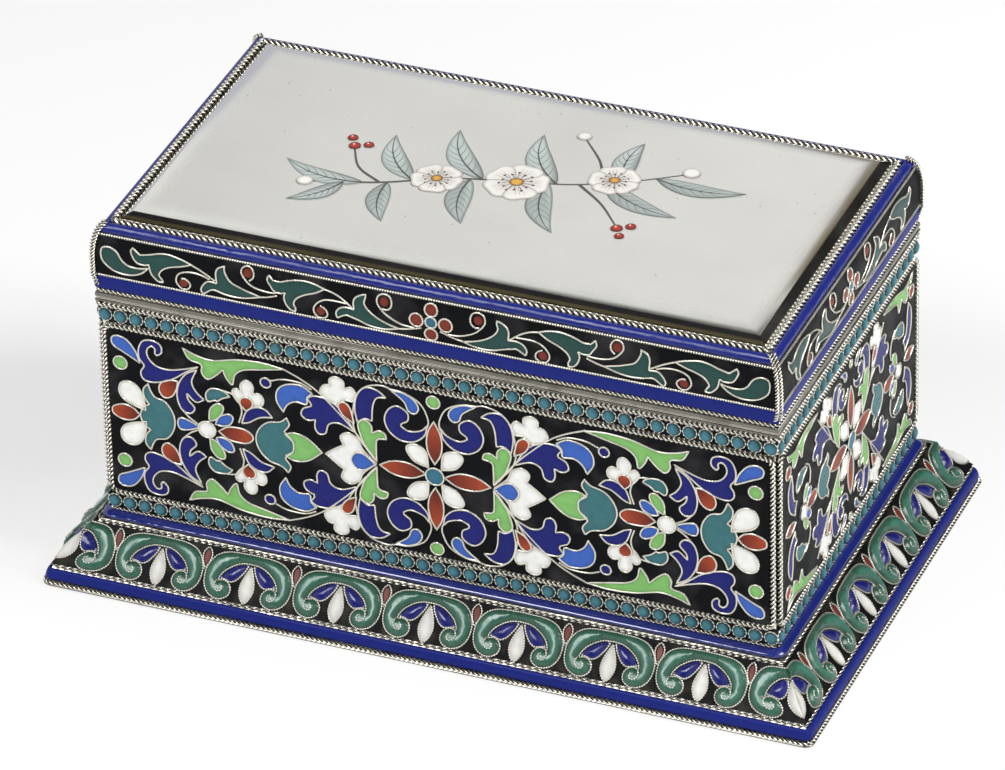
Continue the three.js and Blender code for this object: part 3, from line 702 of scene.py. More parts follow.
CELLS = {
    "corner_drop": ("sky", "quad", (
        (-42.0, 8.3, 1), (-42.6, 10.0), (-43.8, 11.5), (-45.2, 11.9), (-46.0, 11.4), (-45.8, 10.3),
        (-44.5, 9.6), (-43.0, 8.8),
    )),
    "scroll_leaf": ("navy", "quad", (
        (-33.6, 9.5, 1), (-35.7, 8.7), (-38.0, 8.1), (-39.8, 8.4), (-40.8, 9.5), (-40.9, 10.6),
        (-40.3, 11.3), (-39.7, 11.0), (-39.8, 10.3), (-39.5, 10.0), (-38.8, 10.6), (-38.9, 11.7),
        (-40.0, 12.2), (-41.4, 11.9), (-42.1, 10.6), (-42.1, 9.1), (-41.4, 8.0), (-41.9, 7.1),
        (-41.8, 6.1), (-40.9, 5.6), (-39.2, 5.9), (-37.3, 6.8), (-35.4, 8.3),
    )),
    "leaf_bud": ("red", "quad", (
        (-36.6, 6.6, 1), (-37.9, 6.5), (-39.1, 5.8), (-39.4, 4.6), (-38.7, 3.6), (-37.6, 4.0),
        (-36.9, 5.2),
    )),
    "end_tulip": ("teal", "half", (
        (-37.3, 0.0), (-37.6, 1.5), (-38.6, 2.9), (-40.0, 3.3), (-40.6, 4.1), (-41.0, 5.2, 1),
        (-41.7, 4.3), (-41.6, 3.0), (-40.9, 2.0, 1), (-41.8, 1.4), (-42.3, 0.0),
    )),
    "end_petal": ("white", "quad", (
        (-41.5, 0.9, 1), (-41.7, 2.6), (-42.4, 4.3), (-43.6, 5.0), (-44.9, 4.6), (-45.3, 3.3),
        (-44.7, 2.1), (-43.3, 1.4),
    )),
    "end_bud": ("red", "half", (
        (-42.4, 0.0, 1), (-43.3, 0.9), (-44.8, 1.2), (-46.2, 0.6), (-46.4, 0.0),
    )),
    "fork_leaf": ("navy", "quad", (
        (-33.8, 9.0, 1), (-35.4, 8.0), (-36.5, 6.2), (-36.8, 4.1), (-36.2, 2.3), (-35.0, 1.9),
        (-34.3, 2.9), (-35.2, 4.0), (-35.4, 5.0, 1), (-34.1, 3.9), (-32.9, 4.5, 1), (-34.0, 5.5),
        (-34.6, 7.0),
    )),
    "acanthus": ("green", "quad", (
        (-35.7, 12.0, 1), (-33.8, 11.3), (-31.4, 11.0), (-27.9, 11.9), (-24.3, 12.2), (-21.2, 11.9, 1),
        (-24.1, 11.2), (-27.0, 10.5), (-28.3, 9.4), (-28.7, 7.8), (-29.6, 8.8), (-30.0, 9.9, 1),
        (-31.0, 8.8), (-32.3, 7.9), (-33.1, 8.8), (-33.1, 10.0), (-34.8, 10.5),
    )),
    "blossom": ("white", "quad", (
        (-27.5, 5.0), (-28.4, 5.8), (-28.8, 6.8), (-28.2, 7.4), (-27.4, 6.9, 1), (-27.6, 8.0),
        (-26.9, 8.9), (-26.0, 8.7), (-25.7, 7.8), (-25.9, 7.0, 1), (-24.9, 7.2), (-24.3, 6.5), (-24.5, 5.5),
        (-25.6, 5.0, 1),
    )),
    "blossom_heart": ("red", "quad", (
        (-26.8, 4.2, 1), (-27.6, 5.1), (-27.5, 6.0), (-26.7, 6.4), (-25.9, 6.0), (-25.9, 5.1),
    )),
    "lance_leaf": ("navy", "quad", (
        (-23.1, 3.9, 1), (-24.1, 4.9), (-25.4, 5.0), (-26.8, 4.1), (-27.6, 2.0, 1), (-26.5, 2.4),
        (-24.9, 3.5),
    )),
    "crescent": ("teal", "quad", (
        (-32.4, 4.4), (-32.6, 5.6), (-31.7, 6.6), (-30.0, 6.5), (-29.2, 5.8, 1), (-30.3, 5.3),
        (-31.0, 4.7), (-31.4, 4.8),
    )),
    "pearl_leaf": ("green", "quad", (
        (-32.3, 1.4, 1), (-32.1, 3.2), (-31.1, 4.3), (-30.2, 4.1), (-30.4, 2.9), (-31.4, 1.7),
    )),
    "pearl_petal": ("sky", "quad", (
        (-31.4, 1.1, 1), (-30.8, 2.3), (-29.5, 3.0), (-28.8, 2.6), (-29.3, 1.4), (-30.6, 0.9),
    )),
    "pearl_back": ("sky", "half", (
        (-33.6, 0.0, 1), (-35.2, 0.7), (-36.5, 0.9), (-36.9, 0.0),
    )),
    "pearl_bud": ("red", "half", (
        (-31.0, 0.0, 1), (-29.5, 1.0), (-27.3, 1.1), (-26.2, 0.5), (-26.0, 0.0),
    )),
    "tulip": ("teal", "half", (
        (-25.6, 0.0), (-25.1, 1.7), (-23.8, 3.0), (-22.0, 3.5), (-21.1, 4.3, 1), (-20.7, 3.3),
        (-21.5, 2.1, 1), (-20.3, 0.8), (-20.2, 0.0),
    )),
    "tulip_tongue": ("green", "half", (
        (-16.1, 0.0, 1), (-18.1, 1.7), (-20.0, 2.2), (-21.4, 1.7, 1), (-20.3, 0.8), (-20.2, 0.0),
    )),
    "trefoil_flower": ("white", "half", (
        (-15.6, 0.0, 1), (-14.2, 1.1), (-13.0, 1.9, 1), (-13.4, 3.2), (-12.3, 4.0), (-10.9, 3.3),
        (-10.2, 1.8), (-8.3, 0.0, 1),
    )),
    "trefoil_drop": ("sky", "half", (
        (-8.4, 0.0, 1), (-10.0, 1.2), (-11.2, 1.2), (-11.9, 0.0),
    )),
    "rose_acanthus": ("green", "quad", (
        (-8.3, 0.4, 1), (-9.6, 2.0), (-10.5, 4.1), (-10.8, 5.8), (-9.8, 6.6), (-8.9, 5.8),
        (-8.9, 4.7, 1), (-7.9, 5.3), (-7.0, 5.0), (-6.8, 4.2, 1), (-8.1, 3.9), (-8.3, 2.6),
    )),
    "upright_leaf": ("navy", "quad", (
        (-10.9, 6.0, 1), (-11.2, 8.2), (-10.8, 10.3), (-9.6, 11.7), (-7.9, 11.6), (-6.7, 10.7, 1),
        (-8.0, 10.4), (-8.6, 9.0), (-8.8, 6.6, 1), (-9.8, 6.8),
    )),
    "comma": ("navy", "quad", (
        (-1.0, 7.6, 1), (-1.3, 6.1), (-2.7, 4.8), (-4.6, 4.5), (-6.3, 5.5), (-7.0, 7.3), (-6.4, 9.0),
        (-5.1, 9.8), (-3.7, 9.0), (-3.7, 7.8), (-4.4, 7.3), (-4.7, 6.8), (-3.5, 6.2), (-1.8, 6.7),
    )),
    "comma_drop": ("sky", "quad", (
        (-5.9, 12.0, 1), (-4.3, 12.0), (-2.7, 11.2), (-2.1, 10.0), (-2.7, 9.1), (-3.6, 9.4),
        (-4.0, 10.5), (-5.0, 11.4),
    )),
    "rose_petal": ("white", "quad", (
        (-0.9, 1.1, 1), (-2.9, 1.7), (-4.0, 3.2), (-3.7, 4.1), (-2.4, 4.3), (-1.2, 3.5),
    )),
    "broad_leaf": ("sky", "quad", (
        (-21.5, 5.2, 1), (-22.4, 6.8), (-22.2, 8.5), (-20.9, 9.6), (-18.8, 9.9), (-17.2, 9.0, 1),
        (-18.0, 8.2), (-18.1, 7.1), (-19.7, 7.2), (-20.9, 6.4),
    )),
    "lobed_leaf": ("navy", "quad", (
        (-11.3, 4.3, 1), (-13.0, 7.1), (-14.9, 8.5), (-17.0, 8.7), (-18.0, 8.1, 1), (-17.4, 7.1),
        (-18.6, 6.4), (-18.9, 5.3), (-18.0, 4.7), (-16.9, 5.0, 1), (-17.0, 3.8), (-16.5, 2.9),
        (-15.5, 3.2), (-15.0, 4.7), (-13.5, 5.2),
    )),
    "big_blossom": ("white", "quad", (
        (-15.4, 8.7), (-16.1, 9.7), (-15.5, 10.8), (-14.7, 10.9, 1), (-14.7, 11.9), (-13.8, 12.4),
        (-12.7, 11.9), (-12.7, 10.8, 1), (-11.6, 11.2), (-11.0, 10.3), (-11.5, 9.0, 1), (-12.7, 9.0),
        (-13.8, 8.1),
    )),
    "big_bud": ("red", "quad", (
        (-11.3, 5.8, 1), (-12.8, 6.7), (-13.5, 8.1), (-12.8, 8.8), (-11.9, 8.2), (-11.5, 6.8),
    )),
    "rose_wide": ("red", "half", ((-1.3, 0.0, 1), (-3.0, 0.95), (-4.6, 1.2), (-6.3, 0.9), (-7.9, 0.0, 1))),
    "rose_tall": ("red", "tall", ((0.0, 1.8, 1), (-0.85, 3.4), (-1.1, 5.1), (-0.8, 6.9), (0.0, 8.5, 1))),
    "edge_leaf": ("navy", "quad", (
        (-22.3, 8.2, 1), (-23.4, 6.6), (-23.5, 4.6), (-22.8, 2.7), (-21.0, 1.2, 1), (-20.9, 2.2),
        (-20.3, 3.1, 1), (-21.3, 3.6), (-21.8, 4.8), (-21.9, 6.4),
    )),
    "edge_bud": ("red", "half", (
        (-20.7, 0.0, 1), (-21.7, 0.6), (-22.7, 0.85), (-23.6, 0.6), (-24.6, 0.0, 1),
    )),
}
LONG_STEMS = (
    ((-36.2, 2.3), (-35.0, 1.1), (-33.4, 0.2)),
    ((-21.4, 12.0), (-18.6, 10.8), (-16.2, 9.3), (-13.5, 6.8), (-11.3, 4.4), (-8.3, 0.5)),
    ((-30.0, 6.6), (-28.4, 6.1), (-27.5, 4.1), (-28.0, 2.0)),
    ((-6.2, 12.2), (-4.0, 12.0), (-1.8, 10.8), (-0.8, 8.7), (-0.9, 7.4)),
    ((-8.3, 0.5), (-11.1, 4.1), (-11.5, 7.1), (-10.9, 10.2), (-9.4, 11.9), (-7.3, 12.5), (-5.9, 12.2)),
    ((-23.1, 9.7), (-21.4, 10.3), (-18.9, 10.3), (-17.3, 9.6)),
)
# Cells that lie on another one
RAISED = ("blossom_heart", "trefoil_drop", "big_bud")
RAISED_LIFT = 0.17

# Round cells: glaze, across, up, radius
LONG_DOTS = (
    ("green", -44.9, 7.7, 1.0), ("navy", -23.9, 9.2, 0.75), ("green", 0.0, 11.5, 0.95),
    ("white", -32.6, 0.0, 1.25), ("heart", 0.0, 0.0, 1.3),
)
SHORT_DOTS = (
    ("red", -23.5, 9.3, 0.95), ("green", 0.0, 12.0, 0.55), ("white", -18.1, 0.0, 1.05),
    ("heart", 0.0, 0.0, 1.3),
)
# Glazes of the round cells that lie on another one
TOP_DOTS = ("white", "heart")

# Cells of the short panels: scale and shift of the long panels' cells
SHORT_LAYOUT = {
    "rose_wide": (1, 0, 0), "rose_tall": (1, 0, 0), "rose_petal": (1, 0, 0), "edge_leaf": (1, 0, 0),
    "edge_bud": (1, 0, 0), "rose_acanthus": (1, 3.9, 1.0), "upright_leaf": (0.8, 1.8, 2.3),
    "comma": (0.62, -0.5, 4.1), "comma_drop": (0.6, -0.3, 5.0), "lobed_leaf": (0.92, 3.0, 0.9),
    "big_blossom": (0.85, 2.0, 1.9), "big_bud": (0.85, 2.0, 1.9), "tulip": (0.8, 8.1, 0),
    "pearl_leaf": (0.8, 8.0, 0), "pearl_petal": (0.8, 8.0, 0), "pearl_bud": (0.8, 8.0, 0),
    "crescent": (1.15, 17.0, -0.8), "acanthus": (0.79, 4.2, 2.6),
}
SHORT_ONLY = ("edge_leaf", "edge_bud")
SHORT_STEMS = (
    ((-17.2, 6.9), (-15.9, 6.0), (-15.3, 4.6), (-15.6, 3.0)),
    ((-12.6, 10.9), (-10.4, 8.2), (-8.0, 5.4), (-6.2, 3.4), (-4.4, 1.7)),
)

# Lid frieze, left half: across in mm from its middle, up the frieze from 0 to 1
LID_LEAVES = (
    (
        (-40.1, 0.41, 1), (-41.0, 0.37), (-42.2, 0.35), (-43.2, 0.39), (-43.9, 0.49), (-44.5, 0.66),
        (-45.4, 0.76), (-46.3, 0.76), (-46.8, 0.70), (-46.9, 0.55), (-46.7, 0.40), (-46.0, 0.26),
        (-44.9, 0.15), (-43.5, 0.11), (-42.1, 0.15), (-41.0, 0.25),
    ),
    (
        (-42.3, 0.86, 1), (-41.3, 0.72, 1), (-39.8, 0.78), (-38.7, 0.84), (-37.4, 0.87), (-36.1, 0.84),
        (-34.9, 0.79), (-33.9, 0.73, 1), (-35.5, 0.63), (-36.8, 0.57), (-37.8, 0.49), (-38.4, 0.38),
        (-38.6, 0.28), (-38.3, 0.21), (-38.0, 0.11, 1), (-38.7, 0.10), (-39.3, 0.19), (-39.7, 0.28),
        (-39.9, 0.40), (-40.0, 0.52, 1), (-40.6, 0.48), (-41.5, 0.49), (-42.0, 0.55), (-42.4, 0.67),
        (-42.6, 0.78),
    ),
    (
        (-29.2, 0.86, 1), (-30.1, 0.78), (-30.4, 0.67), (-30.4, 0.55), (-30.3, 0.38, 1), (-31.5, 0.39),
        (-32.1, 0.30), (-32.5, 0.19), (-32.6, 0.09), (-32.3, 0.01, 1), (-31.7, 0.09), (-31.2, 0.16),
        (-30.6, 0.18), (-29.2, 0.12), (-27.9, 0.10), (-26.6, 0.12), (-25.4, 0.17), (-24.1, 0.24, 1),
        (-24.9, 0.28), (-26.0, 0.33), (-27.1, 0.40), (-28.3, 0.49), (-28.9, 0.63), (-29.2, 0.76),
    ),
    (
        (-22.9, 0.86, 1), (-22.3, 0.76, 1), (-21.3, 0.75), (-20.2, 0.82), (-19.0, 0.87), (-17.7, 0.89),
        (-16.3, 0.86), (-15.0, 0.79, 1), (-16.3, 0.65), (-17.6, 0.56), (-18.6, 0.46), (-19.2, 0.35),
        (-19.4, 0.23), (-19.1, 0.13), (-19.2, 0.03, 1), (-19.9, 0.07), (-20.4, 0.17), (-20.7, 0.31),
        (-20.7, 0.42), (-20.5, 0.50, 1), (-21.2, 0.46), (-22.1, 0.48), (-22.6, 0.60), (-23.1, 0.74),
    ),
    (
        (-9.2, 0.86, 1), (-9.8, 0.83), (-10.6, 0.74), (-10.9, 0.62), (-10.8, 0.42, 1), (-11.9, 0.44),
        (-12.7, 0.40), (-13.2, 0.31), (-13.4, 0.21), (-13.2, 0.10, 1), (-12.4, 0.19), (-11.9, 0.23),
        (-11.4, 0.21), (-10.1, 0.15), (-8.8, 0.07), (-7.4, 0.04), (-6.1, 0.06), (-4.5, 0.14, 1),
        (-5.7, 0.19), (-7.0, 0.27), (-8.1, 0.38), (-9.0, 0.52), (-9.4, 0.66), (-9.2, 0.78),
    ),
)
LID_STEMS = (
    ((-33.9, 0.73), (-32.3, 0.61), (-30.6, 0.44)),
    (
        (-31.3, 0.45), (-32.3, 0.51), (-33.6, 0.54), (-34.9, 0.51), (-35.8, 0.42), (-36.1, 0.30),
        (-36.1, 0.19), (-35.6, 0.07), (-35.0, 0.03), (-34.4, 0.07), (-34.1, 0.17), (-34.3, 0.26),
        (-34.9, 0.33), (-35.4, 0.32),
    ),
    ((-24.1, 0.24), (-23.1, 0.28), (-21.7, 0.37)),
    (
        (-21.8, 0.44), (-22.8, 0.42), (-24.1, 0.44), (-25.4, 0.51), (-26.3, 0.65), (-26.8, 0.80),
        (-26.6, 0.92), (-26.0, 0.98), (-25.4, 0.95), (-25.0, 0.84), (-25.1, 0.71), (-25.6, 0.63),
    ),
    ((-15.0, 0.79), (-13.7, 0.74), (-12.5, 0.64), (-10.9, 0.43)),
    (
        (-11.9, 0.54), (-13.7, 0.55), (-15.0, 0.52), (-15.9, 0.42), (-16.5, 0.27), (-16.5, 0.13),
        (-16.0, 0.02), (-15.4, 0.01), (-14.7, 0.07), (-14.6, 0.19), (-15.0, 0.29), (-15.6, 0.34),
    ),
    ((-4.5, 0.14), (-3.3, 0.18), (-1.3, 0.29)),
    (
        (-2.3, 0.25), (-3.9, 0.27), (-5.2, 0.35), (-6.3, 0.46), (-7.2, 0.62), (-7.6, 0.76),
        (-7.4, 0.90), (-6.6, 0.96), (-5.8, 0.92), (-5.5, 0.78), (-5.7, 0.64), (-6.3, 0.58),
        (-6.8, 0.60),
    ),
)
LID_BERRIES = ((-35.1, 0.20), (-25.9, 0.80), (-15.6, 0.18), (-6.6, 0.77))
LID_BERRY = 0.62
# Flower in the middle of a side: glaze, across, up, radius
LID_FLOWER = (
    ("heart", 0.0, 0.48, 0.8), ("berry", 0.0, 0.8, 0.9), ("berry", -2.05, 0.48, 0.95),
    ("berry", 0.0, 0.16, 0.9),
)
# First leaf, stem and berry that the short sides have
SHORT_LID_FROM = (3, 4, 2)

# Palmette, right half: across in half spacings, up the skirt from 0 to 1
PALM_SCROLL = (
    (0.0, 0.785), (0.19, 0.77), (0.36, 0.705), (0.53, 0.585), (0.63, 0.45), (0.655, 0.35, 1), (0.53, 0.385),
    (0.405, 0.33), (0.345, 0.215), (0.385, 0.085), (0.55, 0.0), (0.76, 0.04), (0.91, 0.185), (0.965, 0.39),
    (0.94, 0.61), (0.78, 0.84), (0.5, 0.945), (0.0, 0.97),
)
PALM_CURL = ((0.655, 0.35), (0.69, 0.25), (0.63, 0.155), (0.53, 0.155), (0.505, 0.235), (0.565, 0.28))
PALM_DROP = (
    (0.0, 0.0, 1), (0.075, 0.06), (0.15, 0.22), (0.145, 0.38), (0.085, 0.56), (0.04, 0.65), (0.0, 0.74, 1),
)
PALM_CORNER_DROP = (
    (0.0, 0.12, 1), (0.12, 0.165), (0.2, 0.29), (0.19, 0.42), (0.11, 0.58), (0.05, 0.66), (0.0, 0.74, 1),
)
PALM_LEAF = (
    (0.06, 0.755, 1), (0.2, 0.735), (0.36, 0.665), (0.51, 0.555), (0.615, 0.405, 1), (0.5, 0.4),
    (0.385, 0.365), (0.27, 0.42), (0.175, 0.53), (0.105, 0.64),
)
PALM_RIB = (*PALM_LEAF[4:], PALM_LEAF[0])
PALM_BUD = ((1.0, 0.58, 1), (1.05, 0.72), (1.055, 0.83), (1.0, 0.9), (0.945, 0.83), (0.95, 0.72))
PALM_LOOP = ((1.0, 0.52, 1), (1.08, 0.69), (1.095, 0.84), (1.0, 0.955), (0.905, 0.84), (0.92, 0.69))


# Finishes

NOISE_SPAN = (0.3, 0.7)
PIT_SPAN = (0.55, 0.6)
HOLLOW_SPAN = (0.3, 0.85)


def noise(tree, scale, detail=2.0):
    """Noise on object coordinates, from 0 to 1."""
    made = node(tree, "ShaderNodeTexNoise")
    tree.links.new(node(tree, "ShaderNodeTexCoord").outputs["Object"], made.inputs["Vector"])
    feed(tree, made.inputs["Scale"], scale)
    made.inputs["Detail"].default_value = detail
    return made.outputs[0]


def blend(tree, factor, first, second):
    """A mix of two colours."""
    made = node(tree, "ShaderNodeMix", data_type="RGBA")
    feed(tree, made.inputs[0], factor)
    for socket, value in ((made.inputs[6], first), (made.inputs[7], second)):
        feed(tree, socket, value if isinstance(value, bpy.types.NodeSocket) else (*value, 1))
    return made.outputs[2]


def spread(tree, value, low, high, to_low=0.0, to_high=1.0):
    """A value carried from one range to another and held inside it."""
    made = node(tree, "ShaderNodeMapRange")
    for socket, number in zip(made.inputs, (value, low, high, to_low, to_high)):
        feed(tree, socket, number)
    return made.outputs[0]


def patchy(tree, scale, low, high, detail=2.0):
    """A value that wanders between two limits over the surface."""
    return spread(tree, noise(tree, scale, detail), *NOISE_SPAN, low, high)


def clouds(tree, scale, detail, clear, soft):
    """A mask of clouds: clear is how much of the surface has none, soft the width of their edges."""
    return spread(tree, noise(tree, scale, detail), clear, clear + soft)


def mottle_group():
    """Uneven depth of colour, as in a fired glaze or an old polish."""
    inputs = {"Color": "Color", "Scale": "Float", "Depth": "Float"}
    tree, given, result = new_tree("ShaderNodeTree", "mottle", inputs, {"Color": "Color"})
    cloud = noise(tree, given["Scale"], detail=4.0)
    shade = calc(tree, "MULTIPLY_ADD", calc(tree, "SUBTRACT", cloud, 0.5), given["Depth"], 1.0)
    made = node(tree, "ShaderNodeVectorMath", operation="SCALE")
    feed(tree, made.inputs[0], given["Color"])
    feed(tree, made.inputs["Scale"], shade)
    tree.links.new(made.outputs[0], result)
    return tree


def pits_group():
    """A mask of small scattered pits and specks."""
    inputs = {"Scale": "Float", "Size": "Float"}
    tree, given, result = new_tree("ShaderNodeTree", "pits", inputs, {"Mask": "Float"})
    cells = node(tree, "ShaderNodeTexVoronoi")
    tree.links.new(node(tree, "ShaderNodeTexCoord").outputs["Object"], cells.inputs["Vector"])
    feed(tree, cells.inputs["Scale"], given["Scale"])
    near = spread(tree, cells.outputs["Distance"], 0.0, given["Size"], 1.0, 0.0)
    some = spread(tree, cells.outputs["Color"], *PIT_SPAN)
    tree.links.new(calc(tree, "MULTIPLY", near, some), result)
    return tree


def placed(tree, group, make, **values):
    """A shader group in a material, with its own values."""
    made = node(tree, "ShaderNodeGroup", node_tree=tree_named(group, make))
    for label, value in values.items():
        feed(tree, made.inputs[label], (*value, 1) if isinstance(value, tuple) else value)
    return made.outputs[0]


def mottled(tree, base, scale, depth):
    """A colour in uneven depth."""
    return placed(tree, "mottle", mottle_group, Color=base, Scale=scale, Depth=depth)


def specked(tree, base, dark, scale, size, share):
    """A colour with small dark pits in it."""
    specks = placed(tree, "pits", pits_group, Scale=scale, Size=size)
    return blend(tree, calc(tree, "MULTIPLY", specks, share), base, dark)


def finish(name, paint, **fixed):
    """A material, made once: paint fills in its tree, fixed sets the shader's plain sockets."""
    label = f"finish_{name}"
    found = bpy.data.materials.get(label)
    if found:
        return found
    material = bpy.data.materials.new(label)
    material.use_nodes = True
    tree = material.node_tree
    shader = tree.nodes["Principled BSDF"]
    for socket, value in fixed.items():
        shader.inputs[socket.replace("_", " ")].default_value = value
    paint(tree, shader.inputs)
    return material


def attribute(tree, name, output):
    """A value or colour that the mesh carries."""
    return node(tree, "ShaderNodeAttribute", attribute_name=name).outputs[output]


def uneven(tree, sockets, scale, strength, depth=0.1):
    """A gently uneven surface; depth is in mm."""
    bump = node(tree, "ShaderNodeBump")
    bump.inputs["Strength"].default_value = strength
    bump.inputs["Distance"].default_value = depth * MM
    feed(tree, bump.inputs["Height"], noise(tree, scale, detail=3.0))
    tree.links.new(bump.outputs[0], sockets["Normal"])


def grained_silver(name, base, rough):
    """Silver of ropes and wires, darker in its hollows: tarnish and painted shade."""
    def paint(tree, sockets):
        deep = spread(tree, attribute(tree, "hollow", "Fac"), *HOLLOW_SPAN)
        bright = mottled(tree, base, scale=900.0, depth=0.25)
        # Painted shade and tarnish: the hollows take the dark tone.
        feed(tree, sockets["Base Color"], blend(tree, deep, bright, hue("tone")))
        polish = patchy(tree, scale=500.0, low=rough, high=rough + 0.12)
        feed(tree, sockets["Roughness"], calc(tree, "MULTIPLY_ADD", deep, 0.25, polish))

    return finish(name, paint, Metallic=0.85)


def silver():
    """Polished silver of the ropes and of the rings round the beads."""
    return grained_silver("polished_silver", hue("silver"), rough=0.16)


def wire_silver():
    """Silver of the wires round the cells."""
    return grained_silver("wire_silver", hue("silver"), rough=0.24)


def skirt_wire_silver():
    """Worn silver of the wires round the palmettes."""
    return grained_silver("skirt_wire_silver", hue("skirt_wire"), rough=0.36)


def toned_silver(name, bright, clear, rough, bumps):
    """Plain silver, dulled and toned in clouds; clear is how much of it stays bright."""
    def paint(tree, sockets):
        dark = clouds(tree, scale=260.0, detail=6.0, clear=clear, soft=0.4)
        feed(tree, sockets["Base Color"], blend(tree, dark, bright, hue("tone")))
        polish = patchy(tree, scale=700.0, low=rough, high=rough + 0.2, detail=4.0)
        feed(tree, sockets["Roughness"], polish)
        uneven(tree, sockets, scale=900.0, strength=bumps)

    return finish(name, paint, Metallic=1.0)


def worn_silver():
    """Silver of the skirt plates and of the base."""
    return toned_silver("worn_silver", hue("worn"), clear=0.35, rough=0.28, bumps=0.4)


def plain_silver():
    """Silver of the walls and of the hinge."""
    return toned_silver("plain_silver", hue("worn"), clear=0.5, rough=0.12, bumps=0.1)


def lip_shade_silver():
    """Silver of the foot and of the lips, darkened as painted shade."""
    return toned_silver("lip_shade_silver", hue("lip"), clear=0.5, rough=0.07, bumps=0.12)


def gilt():
    """Silver-gilt of the inside."""
    def paint(tree, sockets):
        feed(tree, sockets["Base Color"], mottled(tree, hue("gilt"), scale=120.0, depth=0.3))
        feed(tree, sockets["Roughness"], patchy(tree, scale=220.0, low=0.22, high=0.4, detail=5.0))
        uneven(tree, sockets, scale=600.0, strength=0.08)

    return finish("silver_gilt", paint, Metallic=1.0)


def plaque():
    """Satin on the flat top, burnished on the rolled edge."""
    def paint(tree, sockets):
        satin = attribute(tree, "glaze", "Fac")
        base = mottled(tree, hue("plaque"), scale=32.0, depth=0.3)
        pitted = specked(tree, base, hue("tone"), scale=420.0, size=0.1, share=0.5)
        feed(tree, sockets["Base Color"], pitted)
        feed(tree, sockets["Metallic"], spread(tree, satin, 0.0, 1.0, to_low=1.0, to_high=0.3))
        polish = patchy(tree, scale=140.0, low=0.15, high=0.21, detail=4.0)
        feed(tree, sockets["Roughness"], calc(tree, "MULTIPLY_ADD", satin, 0.12, polish))

    return finish("burnished_plaque", paint, Specular_IOR_Level=0.2)


def blue_glaze(name, rough, shine, waves):
    """Blue enamel; rough holds the roughness of its bright and of its dull patches."""
    def paint(tree, sockets):
        feed(tree, sockets["Base Color"], mottled(tree, hue("cobalt"), scale=500.0, depth=0.3))
        feed(tree, sockets["Roughness"], patchy(tree, 110.0, *rough))
        uneven(tree, sockets, scale=170.0, strength=1.0, depth=waves)

    return finish(name, paint, Specular_IOR_Level=shine)


def cobalt():
    """Bright enamel of the plinth."""
    return blue_glaze("cobalt_enamel", rough=(0.05, 0.1), shine=0.8, waves=0.2)


def worn_cobalt():
    """Patchy enamel of the lid's shoulder."""
    return blue_glaze("worn_cobalt_enamel", rough=(0.1, 0.4), shine=0.3, waves=0.5)


def dull_cobalt():
    """Dull enamel of the foot and of the lid's lower stripe."""
    return blue_glaze("dull_cobalt_enamel", rough=(0.25, 0.4), shine=0.06, waves=0.05)


def bead_glaze():
    """Turquoise enamel, darker along the rings."""
    def paint(tree, sockets):
        rim = spread(tree, attribute(tree, "hollow", "Fac"), 0.1, 0.85)
        base = blend(tree, rim, hue("turquoise"), hue("bead_rim"))
        feed(tree, sockets["Base Color"], mottled(tree, base, scale=800.0, depth=0.7))
        feed(tree, sockets["Roughness"], patchy(tree, scale=350.0, low=0.3, high=0.45))

    return finish("turquoise_beads", paint, Specular_IOR_Level=0.2)


def glazed(name, depth, rough, bumps, shine):
    """Enamel in the colours that the mesh carries."""
    def paint(tree, sockets):
        base = mottled(tree, attribute(tree, "glaze", "Color"), scale=700.0, depth=depth)
        pitted = specked(tree, base, hue("ground"), scale=1500.0, size=0.16, share=0.35)
        feed(tree, sockets["Base Color"], pitted)
        feed(tree, sockets["Roughness"], patchy(tree, scale=600.0, low=rough, high=rough + 0.14))
        uneven(tree, sockets, scale=700.0, strength=bumps)

    return finish(name, paint, Specular_IOR_Level=shine)


def cell_glaze():
    """Enamel of the flat cells."""
    return glazed("cloisonne_cells", depth=0.35, rough=0.24, bumps=0.15, shine=0.12)


def relief_glaze():
    """Glossy enamel of the palmettes."""
    return glazed("raised_enamel", depth=0.6, rough=0.17, bumps=0.5, shine=0.45)


def painted():
    """Paint of the sprig."""
    def paint(tree, sockets):
        base = mottled(tree, attribute(tree, "glaze", "Color"), scale=300.0, depth=0.2)
        feed(tree, sockets["Base Color"], base)
        feed(tree, sockets["Roughness"], patchy(tree, scale=400.0, low=0.3, high=0.45))

    return finish("painted_sprig", paint, Specular_IOR_Level=0.3)


def dark_enamel(name, cloud, scale, clear):
    """The dark ground with clouds in it, painted reflections on the panels and brown tarnish on the skirt;
    clear is how much of it stays dark.
    """
    def paint(tree, sockets):
        pale = clouds(tree, scale, detail=5.0, clear=clear, soft=0.28)
        feed(tree, sockets["Base Color"], blend(tree, pale, hue("ground"), cloud))
        feed(tree, sockets["Roughness"], patchy(tree, scale=300.0, low=0.3, high=0.5, detail=4.0))
        uneven(tree, sockets, scale=600.0, strength=0.2)

    return finish(name, paint, Specular_IOR_Level=0.04)


def ground():
    """Ground of the panels, bead borders and lid frieze."""
    # The grey clouds of this ground are painted reflections.
    return dark_enamel("ground_enamel", hue("painted_reflection"), scale=170.0, clear=0.5)


def skirt_ground():
    """Tarnished ground of the palmettes."""
    return dark_enamel("skirt_ground_enamel", hue("tarnish"), scale=420.0, clear=0.48)


def dress(material, *names):
    """Gives CAD nodes a finish."""
    for name in names:
        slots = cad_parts[name].data.materials
        slots.clear()
        slots.append(material)


def nodes_like(*starts):
    """Names of the CAD nodes that start so."""
    return [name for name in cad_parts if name.startswith(starts)]


# Glazes: colours of a cell's points

RIM_SHADE = 0.78
EMBER_SPREAD = 1.25
EMBER_CURVE = 1.3


def one_glaze(name):
    """A cell in one colour, a little deeper along its wire."""
    base = np.array(hue(name))
    return lambda points, depth: [tuple(base * (RIM_SHADE + (1 - RIM_SHADE) * d)) for d in depth]


